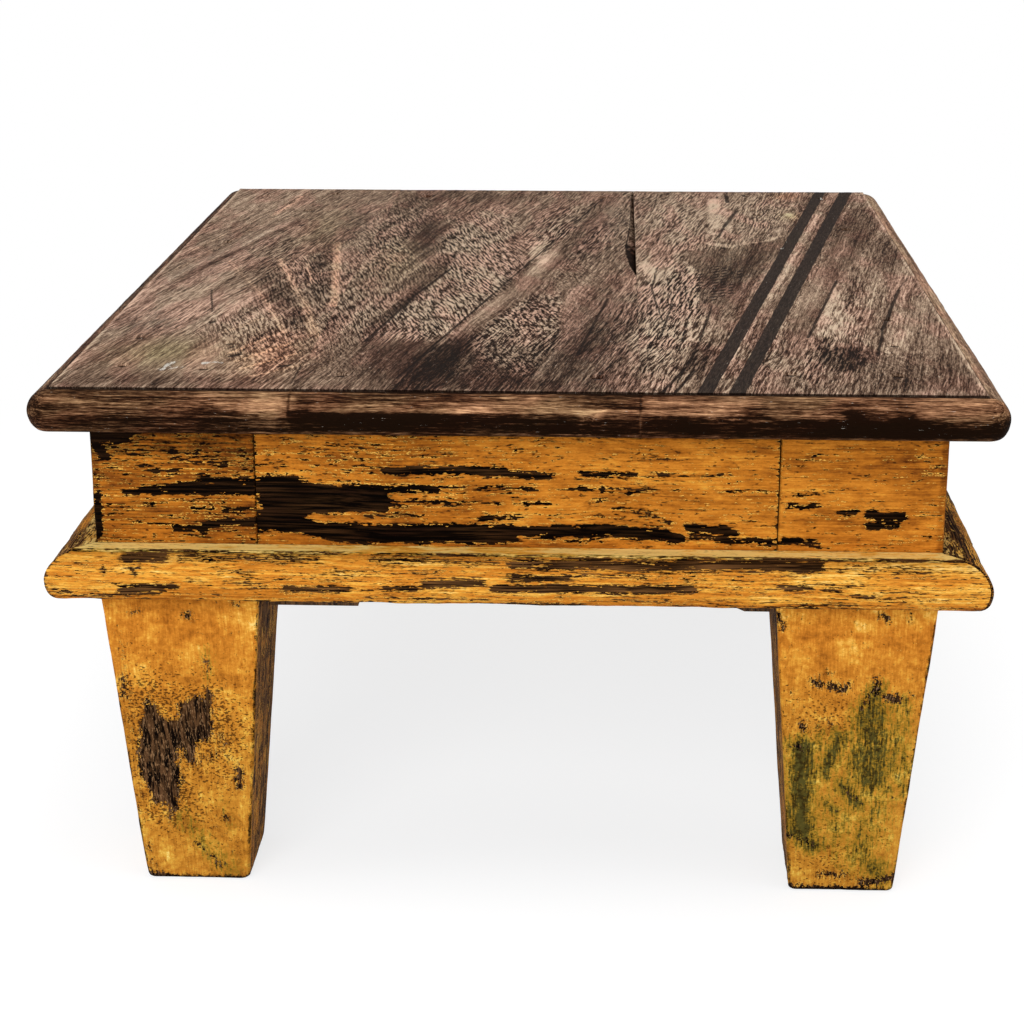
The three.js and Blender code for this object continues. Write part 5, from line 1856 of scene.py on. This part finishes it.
@dataclass
class Studio:
    """A pale floor, soft light from above and in front, and a pale surround.

    The camera is the photograph's, fitted to the corners of the top, apron, moulding and legs: its place in
    metres, its turns in radians, and its focal length in pixels of a picture so many pixels wide.
    """

    reach: float = 30.0
    under: float = 0.0002
    middle: tuple[float, float, float] = (0.0, 0.0, 0.12)
    eye: tuple[float, float, float] = (0.03915, -1.10635, 0.46170)
    yaw: float = 0.0464
    pitch: float = 0.3116
    roll: float = 0.0020
    focal: float = 2215.2
    picture: int = 1024
    sensor: float = 36.0

    @staticmethod
    def seen(g: Graph) -> Socket:
        """Tells rays that the camera sends, straight, mirrored or through glass, from light's own.

        Args:
            g: the graph.

        Returns:
            1 for the camera's rays.
        """
        path = g.add("LightPath").node.outputs
        bent = g.add("MAXIMUM", path["Is Glossy Ray"], path["Is Transmission Ray"])
        return g.add("MAXIMUM", path["Is Camera Ray"], bent)

    def floor(self) -> None:
        """A wide sheet that is diffuse to light and shines a little to the camera, so that it goes white."""
        sheet = bpy.data.meshes.new("floor")
        corners = ((-1, -1), (1, -1), (1, 1), (-1, 1))
        sheet.from_pydata([(x * self.reach, y * self.reach, 0) for x, y in corners], [], [(0, 1, 2, 3)])
        made = bpy.data.objects.new("floor", sheet)
        made.location.z = -self.under
        bpy.context.scene.collection.objects.link(made)
        g = Graph(bpy.data.materials.new("white_sheet"))
        place = g.add("TexCoord").node.outputs["Object"]
        away = g.add("VectorMath", place, operation="LENGTH").node.outputs["Value"]
        near = g.add("Emission", (1, 1, 1, 1), 0.76)
        near = g.add("AddShader", g.add("BsdfDiffuse", (0.3, 0.3, 0.3, 1)), near)
        far = g.add("Emission", (1, 1, 1, 1), 1.0)
        plain = g.add("MixShader", g.add("STEP", away, 0.35, 0.75), near, far)
        matt = g.add("BsdfDiffuse", (0.82, 0.82, 0.82, 1))
        g.add("OutputMaterial", g.add("MixShader", self.seen(g), matt, plain))
        sheet.materials.append(g.owner)

    def world(self) -> None:
        """A pale surround to the camera, and a dimmer, bluish one as light on the object."""
        world = bpy.data.worlds.new("surround")
        bpy.context.scene.world = world
        g = Graph(world)
        soft = g.add("Background", (0.86, 0.92, 1.0, 1), 0.36)
        pale = g.add("Background", (0.8, 0.8, 0.8, 1), 1.0)
        g.add("OutputWorld", g.add("MixShader", self.seen(g), soft, pale))

    def lamp(self, name: str, place: tuple, size: float, watts: float, colour: tuple = (1, 1, 1)) -> None:
        """A square soft box that faces the object.

        Args:
            name: its name.
            place: where it stands, in metres.
            size: its side, in metres.
            watts: its power.
            colour: its linear colour.
        """
        data = bpy.data.lights.new(name, "AREA")
        data.size, data.energy, data.color = size, watts, colour
        made = bpy.data.objects.new(name, data)
        made.location = place
        made.rotation_euler = (Vector(self.middle) - Vector(place)).to_track_quat("-Z", "Y").to_euler()
        bpy.context.scene.collection.objects.link(made)

    def light(self) -> None:
        """A large box overhead, a weaker one in front, and a small lift from each side."""
        self.lamp("overhead", (0.1, -0.25, 1.9), 1.6, 24.0, (1.0, 0.98, 0.95))
        self.lamp("front", (-0.5, -2.2, 1.1), 1.4, 30.0)
        self.lamp("right", (2.0, -0.6, 0.7), 1.2, 8.0)
        self.lamp("left", (-2.0, -0.4, 0.7), 1.2, 8.0)

    def camera(self) -> None:
        """The photograph's view, with no shift."""
        level = Vector((-math.sin(self.yaw), math.cos(self.yaw), 0))
        forward = level * math.cos(self.pitch) - Vector((0, 0, math.sin(self.pitch)))
        right = Vector((math.cos(self.yaw), math.sin(self.yaw), 0))
        down = forward.cross(right)
        cosine, sine = math.cos(self.roll), math.sin(self.roll)
        axes = Matrix((cosine * right + sine * down, sine * right - cosine * down, -forward)).transposed()
        data = bpy.data.cameras.new("camera")
        data.sensor_width = self.sensor
        data.lens = self.focal / self.picture * self.sensor
        data.clip_start, data.clip_end = 0.05, 80.0
        made = bpy.data.objects.new("camera", data)
        made.matrix_world = Matrix.Translation(self.eye) @ axes.to_4x4()
        bpy.context.scene.collection.objects.link(made)
        bpy.context.scene.camera = made

    def set_up(self) -> None:
        """Everything round the object."""
        self.floor()
        self.world()
        self.light()
        self.camera()
        bpy.context.scene.view_settings.view_transform = "Standard"


def main() -> None:
    """Builds the object and its surround."""
    logging.basicConfig(level=logging.INFO, format="%(name)s %(message)s")
    riser = Riser()
    riser.top()
    riser.base()
    riser.small_parts()
    Studio().set_up()


if __name__ == "__main__":
    main()
